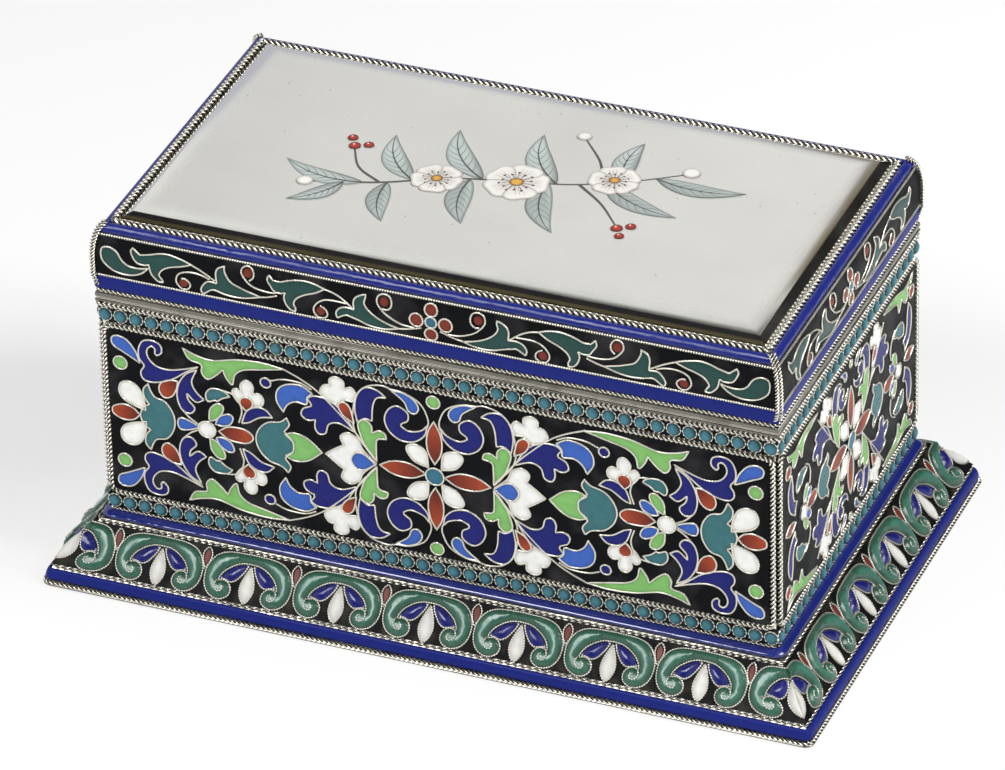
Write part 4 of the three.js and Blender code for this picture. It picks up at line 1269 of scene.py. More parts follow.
def ember_glaze(tip):
    """A red cell, dark at its tip and bright at its far end."""
    dark, bright = np.array(hue("ember")), np.array(hue("red"))

    def glaze(points, depth):
        away = np.linalg.norm(np.asarray(points) - np.asarray(tip), axis=1)
        share = np.clip(away / max(away.max(), WELD) * EMBER_SPREAD, 0, 1) ** EMBER_CURVE
        return [tuple(dark + (bright - dark) * s) for s in share]

    return glaze


def crest_glaze():
    """A raised scroll: dark green along its wire, pale teal on its crest."""
    deep, pale = np.array(hue("palmette")), np.array(hue("crest"))
    return lambda points, depth: [tuple(deep + (pale - deep) * d ** 2) for d in depth]


def glaze_for(name, outline):
    """The glaze of a cell by its name."""
    if name == "red":
        return ember_glaze(outline[0])
    if name == "palmette":
        return crest_glaze()
    return one_glaze(name)


# Ornament

WIRE_HEIGHT = 0.07
CELL_LOW = -0.05
CELL_EDGE = 0.03
CELL_RISE = 0.1
CELL_ROUND = 0.5
OUTLINE_STEP = 0.34


def disc(x, y, radius, count=18):
    """A round outline."""
    turns = [TURN * i / count for i in range(count)]
    return [(x + radius * math.cos(a), y + radius * math.sin(a)) for a in turns]


def mirrored(points, across, up):
    """Points mirrored left to right or top to bottom."""
    return [(across * p[0], up * p[1], *p[2:]) for p in points]


def whole(points, axis):
    """A half outline closed by its mirror image; axis 1 mirrors top to bottom, 0 left to right."""
    signs = (1, -1) if axis == 1 else (-1, 1)
    image = mirrored(points, *signs)[::-1]
    return list(points) + image[1:-1]


def outlines_of(kind, points):
    """All the outlines of a cell on its panel."""
    if kind == "half":
        drawn = whole(points, 1)
        return [drawn, mirrored(drawn, -1, 1)]
    if kind == "tall":
        drawn = whole(points, 0)
        return [drawn, mirrored(drawn, 1, -1)]
    return [mirrored(points, x, y) for x, y in CORNERS]


def spots_of(x, y):
    """All the mirrored places of a round cell."""
    return sorted({(sx * x + 0.0, sy * y + 0.0) for sx, sy in CORNERS})


def panel_design(long_side):
    """Cells (glaze, outline, lift) and stems of a panel, flat and in mm."""
    layout = SHORT_LAYOUT
    if long_side:
        layout = {name: (1, 0, 0) for name in CELLS if name not in SHORT_ONLY}
    cells = []
    for name, (glaze, kind, points) in CELLS.items():
        if name not in layout:
            continue
        scale, across, up = layout[name]
        moved = [(p[0] * scale + across, p[1] * scale + up, *p[2:]) for p in points]
        lift = RAISED_LIFT if name in RAISED else 0
        for outline in outlines_of(kind, moved):
            cells.append((glaze, smooth_path(outline, True, OUTLINE_STEP), lift))
    for glaze, x, y, radius in LONG_DOTS if long_side else SHORT_DOTS:
        lift = RAISED_LIFT if glaze in TOP_DOTS else 0
        for spot in spots_of(x, y):
            cells.append((glaze, disc(*spot, radius), lift))
    stems = []
    for points in LONG_STEMS if long_side else SHORT_STEMS:
        stems.extend(smooth_path(mirrored(points, x, y), False, OUTLINE_STEP) for x, y in CORNERS)
    return cells, stems


def wires(name, paths, metal, width, notch):
    """Cloison wires along paths."""
    return grown(name, paths, tree_named("cloison_wire", wire_tree), {
        "Width": width, "Pitch": sizes().cloison_bead, "Notch": notch, "Material": metal,
    })


def traced(place, line, height, closed):
    """The path of a wire along a flat line, at a height off its ground."""
    return [place(x, y, height) for x, y in line], closed


def cells_and_wires(name, cells, stems, place, body, loose=()):
    """A field of enamel cells, the wires round them, stems, and loose cells without a wire, on one body."""
    shell = Shell()
    for glaze, outline, lift in (*cells, *loose):
        fill = filled(outline, sizes().cell_step / MM)
        edge = CELL_EDGE + lift
        cell(shell, fill, place, CELL_LOW, edge, CELL_RISE, CELL_ROUND, glaze_for(glaze, outline))
    paths = [traced(place, outline, WIRE_HEIGHT + lift, True) for _, outline, lift in cells]
    paths += [traced(place, stem, WIRE_HEIGHT, False) for stem in stems]
    settle(shell.made(f"{name}_cells", cell_glaze()), body, "ground_enamel")
    settle(wires(f"{name}_wires", paths, wire_silver(), sizes().cloison, WIRE_NOTCH), body, "silver")


def rope(name, paths, closed, diameter, lay, body):
    """A twisted rope along its paths, in place of the plain node of that name."""
    piece = grown(f"{name}_strands", [(p, closed) for p in paths], tree_named("twisted_rope", rope_tree), {
        "Diameter": diameter * MM, "Lay": lay, "Material": silver(),
    })
    return settle(piece, body, "silver", name)


# Operators


class STAMPBOX_OT_metal(bpy.types.Operator):
    """Silver and gilt finishes of the plain parts"""

    bl_idname = "stampbox.metal"
    bl_label = "Silver and gilt parts"

    # Lips that meet where the lid shuts: body, out from the body faces, foot and top
    LIPS = {"lid_lip": ("lid", -0.05, 43.1, 43.86), "body_lip": ("box", -0.03, 42.45, 42.88)}
    LIP_SWELL = 0.14
    LIP_STEPS = 8
    FOOT_RIM = ((7.01, 0.0), (7.11, 0.1), (7.11, 0.25), (7.01, 0.35), (6.02, 0.35), (6.02, 0.0))
    FOOT_CORNER = 1.3

    def half_round(self, out, low, high):
        """Section of a lip with a round face."""
        middle, half = (low + high) / 2, (high - low) / 2
        turns = [(i / self.LIP_STEPS - 0.5) * TURN / 2 for i in range(self.LIP_STEPS + 1)]
        face = [(out + self.LIP_SWELL * math.cos(a), middle + half * math.sin(a)) for a in turns]
        return [*face, (out - self.LIP_SWELL, high), (out - self.LIP_SWELL, low)]

    def execute(self, context):
        dress(plain_silver(), *nodes_like("hinge_", "wall_", "lid_wall_"))
        dress(worn_silver(), "base_plate", *(f"skirt_{side}" for side in SIDES))
        # The lips and the foot's rim take the silver darkened as painted shade.
        for name, (body, *shape) in self.LIPS.items():
            settle(ring(name, self.half_round(*shape), lip_shade_silver()), body, "silver")
        rim = ring("foot_rim_edge", self.FOOT_RIM, lip_shade_silver(), self.FOOT_CORNER)
        settle(rim, "box", "silver", "foot_rim")
        dress(gilt(), *nodes_like("lining_", "divider_", "stamp_ramp_", "lid_lining_plate"))
        return {"FINISHED"}


class STAMPBOX_OT_ropes(bpy.types.Operator):
    """Twisted ropes round the foot, skirt, body, panels and lid"""

    bl_idname = "stampbox.ropes"
    bl_label = "Twisted ropes"

    # Ropes round the whole box: body, corner radius
    RINGS = {
        "foot_rope": ("box", 1.25), "skirt_bottom_rope": ("box", 0.8), "skirt_top_rope": ("box", 0.8),
        "plinth_rope": ("box", 0.8), "body_top_rope": ("box", 0.4), "lid_edge_rope": ("lid", 0.4),
        "lid_top_rope": ("lid", 0.4),
    }
    # Where a rope differs from its plain node: shift outwards, added radius, drop
    SHIFTS = {"lid_edge_rope": 0.36, "lid_top_rope": 0.12}
    SWELLS = {"foot_rope": 0.18, "lid_edge_rope": 0.04, "lid_top_rope": 0.1}
    DROPS = {"foot_rope": 0.14}
    # Lays of the ropes that don't have the usual one
    LAYS = {"lid_top_rope": 1.8, "lid_edge_rope": 1.4, "skirt_top_rope": 2.0, "skirt_bottom_rope": 2.1}
    FRAME_CORNER = 1.2
    # Pairs of ropes up the lid's corners
    CORNER_ROPE = 0.68
    CORNER_SPREAD = 0.38
    CORNER_FOOT = 0.4
    CORNER_TRIM = 0.2
    HIP_STEPS = 16

    def execute(self, context):
        for name, (body, corner) in self.RINGS.items():
            self.round_box(name, body, corner)
        for side in SIDES:
            self.round_panel(side)
        names = list(SIDES)
        for side, after in zip(names, names[1:] + names[:1]):
            paths = [self.hip(side, 1), self.hip(after, -1)]
            name = f"lid_corner_rope_{side}_{after}"
            rope(name, paths, False, self.CORNER_ROPE, sizes().fine_lay, "lid")
        return {"FINISHED"}

    def round_box(self, name, body, corner):
        """A rope round the whole box."""
        low, high = (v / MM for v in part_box(name))
        radius = (high.z - low.z) / 2
        inset = radius * HEX_WIDTH - self.SHIFTS.get(name, 0)
        loop = round_loop(high.x - inset, high.y - inset, corner)
        middle = (low.z + high.z) / 2 - self.DROPS.get(name, 0)
        thick = 2 * (radius + self.SWELLS.get(name, 0))
        lay = self.LAYS[name] * MM if name in self.LAYS else sizes().rope_lay
        rope(name, [[(x, y, middle) for x, y in loop]], True, thick, lay, body)

    def round_panel(self, side):
        """The rope round a panel."""
        name = f"rope_frame_{side}"
        low, high = (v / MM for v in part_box(name))
        spans = (high - low) / 2
        along, through = (0, 1) if is_long(side) else (1, 0)
        radius = spans[through]
        inset = radius * HEX_WIDTH
        outer = max(abs(low[through]), abs(high[through]))
        middle = (low.z + high.z) / 2
        loop = round_loop(spans[along] - inset, spans.z - inset, self.FRAME_CORNER)
        path = [turned((u, radius - outer, middle + v), SIDES[side][2]) for u, v in loop]
        rope(name, [path], True, 2 * radius, sizes().rope_lay, "box")

    def hip(self, side, end):
        """Path of a corner rope up the lid."""
        half, reach, quarters = SIDES[side]
        stand = LID_SKIN + self.CORNER_ROPE / 2
        line = [(LID_BAND_FOOT[0] + stand, LID_BAND_FOOT[1] + self.CORNER_FOOT)]
        for i in range(self.HIP_STEPS + 1):
            line.append(lid_point(i / self.HIP_STEPS * (LID_RUN - self.CORNER_TRIM), stand))
        half -= self.CORNER_SPREAD
        return [turned((end * (half + out), -(reach + out), z), quarters) for out, z in line]


BAND_STEPS = 10
BAND_SEAM = 0.02


def crowned(points, low, crown):
    """Section of a band with a crowned face: core points with their normals, from foot to top."""
    face = []
    last = len(points) - 1
    for i, (p, n) in enumerate(points):
        t = 2 * i / last - 1
        h = low + crown * math.sqrt(max(0.0, 1 - t * t))
        face.append((p[0] + h * n[0], p[1] + h * n[1]))
    back = [(p[0] + BAND_SEAM * n[0], p[1] + BAND_SEAM * n[1]) for p, n in reversed(points)]
    return face + back


def straight(a, b):
    """Points with their normals along a straight core line."""
    size = math.dist(a, b)
    n = ((b[1] - a[1]) / size, (a[0] - b[0]) / size)
    steps = [i / BAND_STEPS for i in range(BAND_STEPS + 1)]
    return [((a[0] + t * (b[0] - a[0]), a[1] + t * (b[1] - a[1])), n) for t in steps]


def along_lid(low, high, steps):
    """Points with their normals along the lid's core line."""
    made = []
    for i in range(steps + 1):
        s = low + (high - low) * i / steps
        p, q = lid_point(s, 0), lid_point(s, 1)
        made.append((p, (q[0] - p[0], q[1] - p[1])))
    return made


class STAMPBOX_OT_bands(bpy.types.Operator):
    """Round blue stripes, the ground of the lid frieze and its wires"""

    bl_idname = "stampbox.bands"
    bl_label = "Enamel stripes"

    # Core lines and crowns (height of the edges, rise of the middle) of the stripes
    FOOT = ((6.4, 0.74), (5.9, 2.19))
    FOOT_CROWN = (0.3, 0.28)
    FOOT_CORNER = 1.1
    LID_FOOT = (-0.5, 44.52)
    LID_LOWER_CROWN = (0.44, 0.14)
    LID_UPPER_CROWN = (0.3, 0.34)
    LID_UPPER_STEPS = 12
    # Round moulding over the skirt
    PLINTH_IN = -0.58
    PLINTH_OUT = 0.85
    PLINTH_LOW = 8.41
    PLINTH_HIGH = 9.31
    PLINTH_HEEL = 0.25
    PLINTH_STEPS = 14
    PLINTH_CORNER = 1.6
    FRIEZE_STEPS = 24
    LID_WIRE = 0.38
    LID_NOTCH = 0.28

    def plinth(self):
        """Section of the round moulding."""
        wide = self.PLINTH_OUT - self.PLINTH_IN
        heel = self.PLINTH_LOW + self.PLINTH_HEEL
        tall = self.PLINTH_HIGH - heel
        turns = [i / self.PLINTH_STEPS * TURN / 4 for i in range(self.PLINTH_STEPS + 1)]
        arc = [(self.PLINTH_IN + wide * math.cos(a), heel + tall * math.sin(a)) for a in turns]
        under = self.PLINTH_OUT - self.PLINTH_HEEL
        return [(self.PLINTH_IN, self.PLINTH_LOW), (under, self.PLINTH_LOW), *arc]

    def execute(self, context):
        foot = crowned(straight(*self.FOOT), *self.FOOT_CROWN)
        lower = crowned(straight(self.LID_FOOT, LID_CORE[0]), *self.LID_LOWER_CROWN)
        shoulder = along_lid(LID_RUN - LID_UPPER_BAND, LID_RUN, self.LID_UPPER_STEPS)
        upper = crowned(shoulder, *self.LID_UPPER_CROWN)
        for name, body, glaze, section, corner in (
            ("foot_blue_band", "box", dull_cobalt(), foot, self.FOOT_CORNER),
            ("plinth_blue_band", "box", cobalt(), self.plinth(), self.PLINTH_CORNER),
            ("lid_lower_blue_band", "lid", dull_cobalt(), lower, 0),
            ("lid_upper_blue_band", "lid", worn_cobalt(), upper, 0),
        ):
            settle(ring(f"{name}_glaze", section, glaze, corner), body, "cobalt_enamel", name)
        frieze = crowned(along_lid(*LID_FRIEZE, self.FRIEZE_STEPS), LID_SKIN, 0.0)
        settle(ring("lid_frieze_ground", frieze, ground()), "lid", "ground_enamel", "lid_frieze")
        for name, lane in (("lid_lower_wire", 0), ("lid_upper_wire", LID_FRIEZE[1])):
            out, z = lid_point(lane + LID_WIRE_LANE / 2, LID_SKIN)
            loop = [(x, y, z) for x, y in box_loop(out)]
            width = self.LID_WIRE * MM
            piece = wires(f"{name}_grains", [(loop, True)], wire_silver(), width, self.LID_NOTCH)
            settle(piece, "lid", "silver", name)
        return {"FINISHED"}


class STAMPBOX_OT_beads(bpy.types.Operator):
    """Borders of turquoise beads in wire rings, over and under the panels"""

    bl_idname = "stampbox.beads"
    bl_label = "Bead borders"

    GROUND_OUT = -0.23
    GROUND_IN = -0.56
    RISE = 0.6
    RING_WIRE = 0.24

    def execute(self, context):
        for name in ("lower_bead_band", "upper_bead_band"):
            low, high = (v.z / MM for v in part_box(name))
            out, back = self.GROUND_OUT, self.GROUND_IN
            section = ((out, low), (out, high), (back, high), (back, low))
            settle(ring(f"{name}_ground", section, ground()), "box", "ground_enamel", name)
            self.row(name, (low + high) / 2)
        return {"FINISHED"}

    def row(self, name, middle):
        """The beads of a border, round all four sides."""
        points = []
        facing = []
        for half, reach, quarters in SIDES.values():
            count = round(2 * half / (sizes().bead_spacing / MM))
            for i in range(count):
                u = half * (-1 + (2 * i + 1) / count)
                points.append(turned((u, -(reach + self.GROUND_OUT), middle), quarters))
                facing.append(quarters * TURN / 4)
        piece = grown(f"{name}_row", [(points, None)], tree_named("bead_border", bead_tree), {
            "Radius": sizes().bead_radius, "Rise": self.RISE * MM, "Wire": self.RING_WIRE * MM,
            "Enamel": bead_glaze(), "Metal": silver(),
        }, {"facing": facing})
        settle(piece, "box", "turquoise_enamel")


class STAMPBOX_OT_panels(bpy.types.Operator):
    """Cloisonne flowers and leaves of the four panels"""

    bl_idname = "stampbox.panels"
    bl_label = "Cloisonne panels"

    def execute(self, context):
        designs = {long_side: panel_design(long_side) for long_side in (True, False)}
        for side in SIDES:
            dress(ground(), f"panel_{side}")
            cells_and_wires(f"panel_{side}", *designs[is_long(side)], on_panel(side), "box")
        return {"FINISHED"}


class STAMPBOX_OT_frieze(bpy.types.Operator):
    """Scrolling leaves, berries and flowers of the lid frieze"""

    bl_idname = "stampbox.frieze"
    bl_label = "Lid frieze"

    HEIGHT = LID_FRIEZE[1] - LID_FRIEZE[0]

    def curve(self, points, closed, sign):
        """A smooth line of the frieze in mm; a sign of -1 mirrors it."""
        flat = [(sign * p[0], p[1] * self.HEIGHT, *p[2:]) for p in points]
        return smooth_path(flat, closed, OUTLINE_STEP)

    def execute(self, context):
        for side in SIDES:
            first = (0, 0, 0) if is_long(side) else SHORT_LID_FROM
            rows = (LID_LEAVES, LID_STEMS, LID_BERRIES)
            leaves, stalks, berries = (row[k:] for row, k in zip(rows, first))
            cells = []
            stems = []
            loose = []
            for sign in (1, -1):
                cells += [("scroll", self.curve(leaf, True, sign), 0) for leaf in leaves]
                stems += [self.curve(stalk, False, sign) for stalk in stalks]
                loose += [("berry", disc(sign * x, y * self.HEIGHT, LID_BERRY), 0) for x, y in berries]
            for glaze, x, y, radius in LID_FLOWER:
                signs = (1, -1) if x else (1,)
                cells += [(glaze, disc(sign * x, y * self.HEIGHT, radius), 0) for sign in signs]
            cells_and_wires(f"lid_frieze_{side}", cells, stems, on_lid(side), "lid", loose)
        return {"FINISHED"}


class STAMPBOX_OT_palmettes(bpy.types.Operator):
    """Raised palmettes of the skirt, folded over its corners"""

    bl_idname = "stampbox.palmettes"
    bl_label = "Palmette border"

    HALF = PALMETTE_SPACING / 2
    SCROLL_EDGE = 0.12
    SCROLL_ROUND = 0.85
    # Drops, leaves and buds: height of their edge, rise of their dome and width of its round
    LOW_FORM = (0.1, 0.34, 0.6)
    GLOSSY = ("palmette", "navy")
    WIRED = ("palmette", "drop")
    WIRE_AT = 0.1
    WIRE = 0.28
    CURL_HEIGHT = 1.05

    def curve(self, points, closed, sign=1):
        """A smooth line of a palmette in mm; a sign of -1 mirrors it."""
        flat = [(sign * p[0] * self.HALF, p[1] * SKIRT_WIDTH, *p[2:]) for p in points]
        return smooth_path(flat, closed, OUTLINE_STEP)

    def execute(self, context):
        face = [SKIRT_FOOT, SKIRT_TOP]
        sink_out, sink_up = (SKIRT_SKIN * c for c in SKIRT_NORMAL)
        back = [(out - sink_out, up - sink_up) for out, up in reversed(face)]
        skirt = ring("palmette_ground", face + back, skirt_ground())
        settle(skirt, "box", "green_enamel", "palmette_frieze")
        self.shapes()
        for side in SIDES:
            self.border(side)
        return {"FINISHED"}

    def add(self, when, glaze, outline, form, closed=True, dome=None):
        """Keeps a cell for the palmettes that have it: whole ones (both) or a corner's right or left half."""
        fill = filled(outline, sizes().cell_step / MM, dome)
        self.kinds.append((when, glaze, fill, outline, form, closed))

    def shapes(self):
        """Cells of the whole palmette and of its halves, and the lines of its loose wires."""
        raised = (self.SCROLL_EDGE, sizes().palmette_rise / MM - self.SCROLL_EDGE, self.SCROLL_ROUND)
        self.kinds = []
        for glaze, half, corner, form in (
            ("palmette", PALM_SCROLL, PALM_SCROLL, raised),
            ("drop", PALM_DROP, PALM_CORNER_DROP, self.LOW_FORM),
        ):
            self.add("both", glaze, whole(self.curve(half, False), 0), form)
            right = self.curve(corner, False)
            entire = whole(right, 0)
            self.add("right", glaze, right, form, False, entire)
            self.add("left", glaze, mirrored(right, -1, 1), form, False, entire)
        for sign, where in ((1, "right"), (-1, "left")):
            for when in ("both", where):
                self.add(when, "navy", self.curve(PALM_LEAF, True, sign), self.LOW_FORM)
        for when in ("both", "right"):
            self.add(when, "berry", self.curve(PALM_BUD, True), self.LOW_FORM)
        self.loop = self.curve(PALM_LOOP, True)
        self.ribs = {sign: self.curve(PALM_RIB, False, sign) for sign in (1, -1)}
        self.curls = {sign: self.curve(PALM_CURL, False, sign) for sign in (1, -1)}

    def on_border(self, side, i, x, y, h):
        """A place on the skirt, in mm from the foot of a side's i-th palmette: across, up and off."""
        t = -1 + (2 * i + x / self.HALF) / palmette_count(SIDES[side][0])
        return on_skirt(side, t, y / SKIRT_WIDTH, h)

    def border(self, side):
        """One side of the border."""
        count = palmette_count(SIDES[side][0])
        curl_at = sizes().palmette_rise / MM * self.CURL_HEIGHT
        glossy = Shell()
        dull = Shell()
        paths = []
        for i in range(count + 1):
            where = "right" if i == 0 else "left" if i == count else "both"
            place = partial(self.on_border, side, i)
            for when, glaze, fill, outline, (edge, rise, over), closed in self.kinds:
                if when != where:
                    continue
                shell = glossy if glaze in self.GLOSSY else dull
                cell(shell, fill, place, CELL_LOW, edge, rise, over, glaze_for(glaze, outline))
                if glaze in self.WIRED:
                    paths.append(traced(place, outline, self.WIRE_AT, closed))
            if where != "left":
                paths.append(traced(place, self.loop, self.WIRE_AT, True))
            for sign in (1, -1):
                if where == "both" or (sign > 0) == (where == "right"):
                    paths.append(traced(place, self.curls[sign], curl_at, False))
                    paths.append(traced(place, self.ribs[sign], self.WIRE_AT, False))
        settle(glossy.made(f"palmettes_{side}_cells", relief_glaze()), "box", "green_enamel")
        settle(dull.made(f"palmettes_{side}_drops", cell_glaze()), "box", "green_enamel")
        width = self.WIRE * MM
        grains = wires(f"palmettes_{side}_wires", paths, skirt_wire_silver(), width, DEEP_NOTCH)
        settle(grains, "box", "silver")


class STAMPBOX_OT_plaque(bpy.types.Operator):
    """Rolled plaque on the lid with its painted sprig"""

    bl_idname = "stampbox.plaque"
    bl_label = "Lid plaque"

    # Rolled edge: width and height; the satin starts on its last share
    ROLL = (4.2, 1.6)
    ROLL_STEPS = 20
    SATIN = 0.3
    FLAT_EDGE = 0.3
    CREASE = 25
    SPRIG_LOW = -0.02
    SPRIG_STEP = 0.3
    SPRIG_SOFT = 0.4
    # Each layer of paint lies this much over the last
    STEP_UP = 0.0005
    SHADOW = (0.42, -0.3)
    STEM = ((-25.0, -8.4), (-16, -5.6), (-8, -1.6), (0, 0.6), (8, 2.6), (15, 6.0), (21.5, 10.2))
    STALKS = (
        ((-16.0, -5.6), (-20.0, -3.0), (-22.4, 1.2)), ((9.0, 2.9), (13.4, -0.6), (17.2, -5.0)),
        ((11.6, 4.0), (9.6, 9.0), (5.4, 14.2)),
    )
    STEM_STEP = 0.8
    # Half widths of the stem and of a midrib, at the foot and at the tip
    STEM_WIDTHS = (0.24, 0.12)
    RIB_WIDTHS = (0.16, 0.05)
    # Leaves: foot and tip, half width, bend of the midrib
    LEAVES = (
        ((-18.0, -6.3), (-30.0, -4.0), 1.6, 0.12), ((-15.0, -5.2), (-12.0, -14.6), 1.6, -0.1),
        ((-12.0, -3.6), (-18.5, 6.4), 1.8, 0.12), ((-5.0, -0.7), (-2.0, -11.5), 1.8, -0.1),
        ((-3.5, -0.2), (-11.0, 10.5), 1.9, 0.12), ((5.0, 1.9), (10.0, -9.6), 1.8, -0.12),
        ((6.0, 2.1), (0.0, 13.2), 1.9, 0.12), ((12.0, 4.5), (24.0, -0.5), 1.7, -0.1),
        ((14.0, 5.5), (13.4, 15.6), 1.7, 0.1), ((18.0, 7.8), (30.5, 8.2), 1.6, -0.1),
        ((-20.5, -7.2), (-26.0, -13.6), 1.4, 0.1),
    )
    LEAF_STEPS = 18
    # Leaf steps at which the side veins start
    VEINS = (3, 5, 7, 9, 11)
    VEIN_WIDTHS = (0.07, 0.056, 0.021)
    # Blossoms: middle, reach of a petal, turn in degrees
    BLOSSOMS = (((1.0, 0.6), 4.9, 12), ((13.0, 5.4), 3.9, 44), ((-9.2, -2.2), 3.9, -10))
    PETALS = 5
    PETAL_STEPS = 14
    # Folds of a petal, in shares of its reach: points along them and how far they lean aside
    FOLD = (0.3, 0.5, 0.7)
    FOLD_LEANS = (-0.2, 0, 0.2)
    FOLD_WIDTHS = (0.07, 0.049, 0.021)
    STAMENS = 14
    STAMEN_REACH = (0.4, 0.48)
    STAMEN_WIDTH = 0.04
    POLLEN_DOT = 0.04
    HEART = 0.2
    DOT_SIDES = 8
    # Buds and berries: place and radius; a berry's shine is given in shares of its radius
    BUDS = ((21.9, 10.6, 1.2), (-25.4, -8.6, 1.1), (5.2, 14.5, 1.0))
    BERRIES = (
        (-22.6, 1.8, 0.8), (-20.9, 2.6, 0.7), (-23.6, 3.6, 0.7), (17.6, -5.6, 0.8), (19.2, -4.6, 0.7),
        (18.6, -7.3, 0.65),
    )
    SHINE_AT = 0.3
    SHINE = 0.2

    def execute(self, context):
        low, high = (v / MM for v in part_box("lid_plaque"))
        edge = high.x - HALF_X
        foot = high.z - self.ROLL[1]
        line = [(edge, low.z, 0.0)]
        for i in range(self.ROLL_STEPS + 1):
            t = i / self.ROLL_STEPS
            a = t * TURN / 4
            satin = max(0.0, 1 - (1 - t) / self.SATIN)
            line.append((edge - self.ROLL[0] * (1 - math.cos(a)), foot + self.ROLL[1] * math.sin(a), satin))
        line.append((edge - self.ROLL[0] - self.FLAT_EDGE, high.z, 1.0))
        points = []
        satins = []
        for out, z, satin in line:
            points.extend((x, y, z) for x, y in box_loop(out))
            satins.extend([(satin, satin, satin)] * len(CORNERS))
        faces = [(3, 2, 1, 0), tuple(4 * (len(line) - 1) + k for k in range(4))]
        for i in range(len(line) - 1):
            for k in range(4):
                here, after = 4 * i + k, 4 * i + (k + 1) % 4
                faces.append((here, after, after + 4, here + 4))
        shell = Shell()
        shell.add(points, faces, satins)
        piece = shell.made("lid_plaque_top", plaque(), self.CREASE)
        settle(piece, "lid", "plaque", "lid_plaque")
        self.unlit(piece)
        self.sprig(high.z)
        return {"FINISHED"}

    def unlit(self, piece):
        """Keeps the fill lamp's glare off the roll."""
        apart = bpy.data.collections.new("without_fill")
        apart.objects.link(piece)
        apart.collection_objects[0].light_linking.link_state = "EXCLUDE"
        bpy.data.objects["fill"].light_linking.receiver_collection = apart

    def sprig(self, top):
        """A sprig of leaves and blossoms, painted in layers over soft shadows."""
        self.layers = []
        self.shadows = []
        for stalk in (self.STEM, *self.STALKS):
            line = np.array(smooth_path(stalk, False, self.STEM_STEP))
            self.line(line, np.linspace(*self.STEM_WIDTHS, len(line)), "ink")
        for foot, tip, width, bend in self.LEAVES:
            self.leaf(np.array(foot), np.array(tip), width, bend)
        for middle, reach, turn in self.BLOSSOMS:
            self.blossom(np.array(middle), reach, math.radians(turn))
        for x, y, radius in self.BUDS:
            self.stroke(disc(x, y, radius), "petal_shade", "petal", cast=True)
        for x, y, radius in self.BERRIES:
            self.stroke(disc(x, y, radius), "ember", "seed", cast=True)
            aside = self.SHINE_AT * radius
            shine = disc(x - aside, y + aside, self.SHINE * radius, self.DOT_SIDES)
            self.stroke(shine, "petal", "petal")

        def place(x, y, h):
            return (x, y, top + h)

        shell = Shell()
        for i, (outline, glaze) in enumerate(self.shadows + self.layers):
            fill = filled(outline, self.SPRIG_STEP)
            height = (i + 1) * self.STEP_UP
            cell(shell, fill, place, self.SPRIG_LOW, height, 0, self.SPRIG_SOFT, glaze)
        settle(shell.made("lid_sprig", painted()), "lid", "plaque")

    def stroke(self, outline, rim, middle, lean=None, cast=False):
        """One layer of paint, from its rim to its middle; lean dims it by place, cast gives it a shadow."""
        rim, middle, pale, dim = (np.array(hue(name)) for name in (rim, middle, "shadow_rim", "shadow"))
        outline = [tuple(float(c) for c in p) for p in outline]

        def glaze(points, depth):
            tint = rim + (middle - rim) * np.asarray(depth)[:, None]
            if lean:
                tint = tint * lean(np.asarray(points))[:, None]
            return [tuple(c) for c in tint]

        def shade(points, depth):
            return [tuple(c) for c in pale + (dim - pale) * np.asarray(depth)[:, None]]

        self.layers.append((outline, glaze))
        if cast:
            self.shadows.append(([(x + self.SHADOW[0], y + self.SHADOW[1]) for x, y in outline], shade))

    def line(self, points, widths, ink):
        """A thin stroke along points."""
        along = np.gradient(points, axis=0)
        across = np.stack((-along[:, 1], along[:, 0]), 1) / np.linalg.norm(along, axis=1)[:, None]
        side = across * np.reshape(widths, (-1, 1))
        self.stroke([*(points + side), *(points - side)[::-1]], ink, ink)

    def leaf(self, foot, tip, width, bend):
        """A slender leaf with a midrib and side veins, dimmer on one side."""
        along = tip - foot
        size = np.linalg.norm(along)
        across = np.array((-along[1], along[0])) / size
        u = np.linspace(0, 1, self.LEAF_STEPS + 1)[:, None]
        rib = foot + along * u + across * bend * 4 * size * u * (1 - u)
        half = width * np.sin(math.pi * u ** 0.8) ** 0.9
        left, right = rib + across * half, rib - across * half

        def lean(points):
            far = np.clip((points - foot) @ along / size ** 2, 0, 1)
            side = edge_distance(points, right[1:]) - edge_distance(points, left[1:])
            return (0.8 + 0.2 * far) * (0.88 + 0.12 * np.tanh(side / 0.35))

        self.stroke([*left[:-1], *right[:0:-1]], "leaf_rim", "leaf", lean, True)
        for i in self.VEINS:
            for edge in (left, right):
                bent, end = 0.45 * rib[i + 1] + 0.55 * edge[i + 2], 0.2 * rib[i + 3] + 0.8 * edge[i + 3]
                self.line(np.stack((rib[i], bent, end)), self.VEIN_WIDTHS, "leaf_rim")
        self.line(rib[:-1], np.linspace(*self.RIB_WIDTHS, len(rib) - 1), "ink")

    def blossom(self, middle, reach, turn):
        """Five notched petals round a warm heart with stamens."""
        u = np.linspace(0, 1, self.PETAL_STEPS)
        far = (reach * (0.12 + 0.88 * u ** 0.7 - 0.12 * u ** 8))[:, None]
        half = (reach * 0.47 * np.sin(math.pi * (0.04 + 0.93 * u ** 0.9)) ** 0.7 + 0.02)[:, None]
        fold = (np.array(self.FOLD) * reach)[:, None]

        def fade(points):
            return np.clip(0.66 + 0.42 * np.linalg.norm(points - middle, axis=1) / reach, 0, 1)

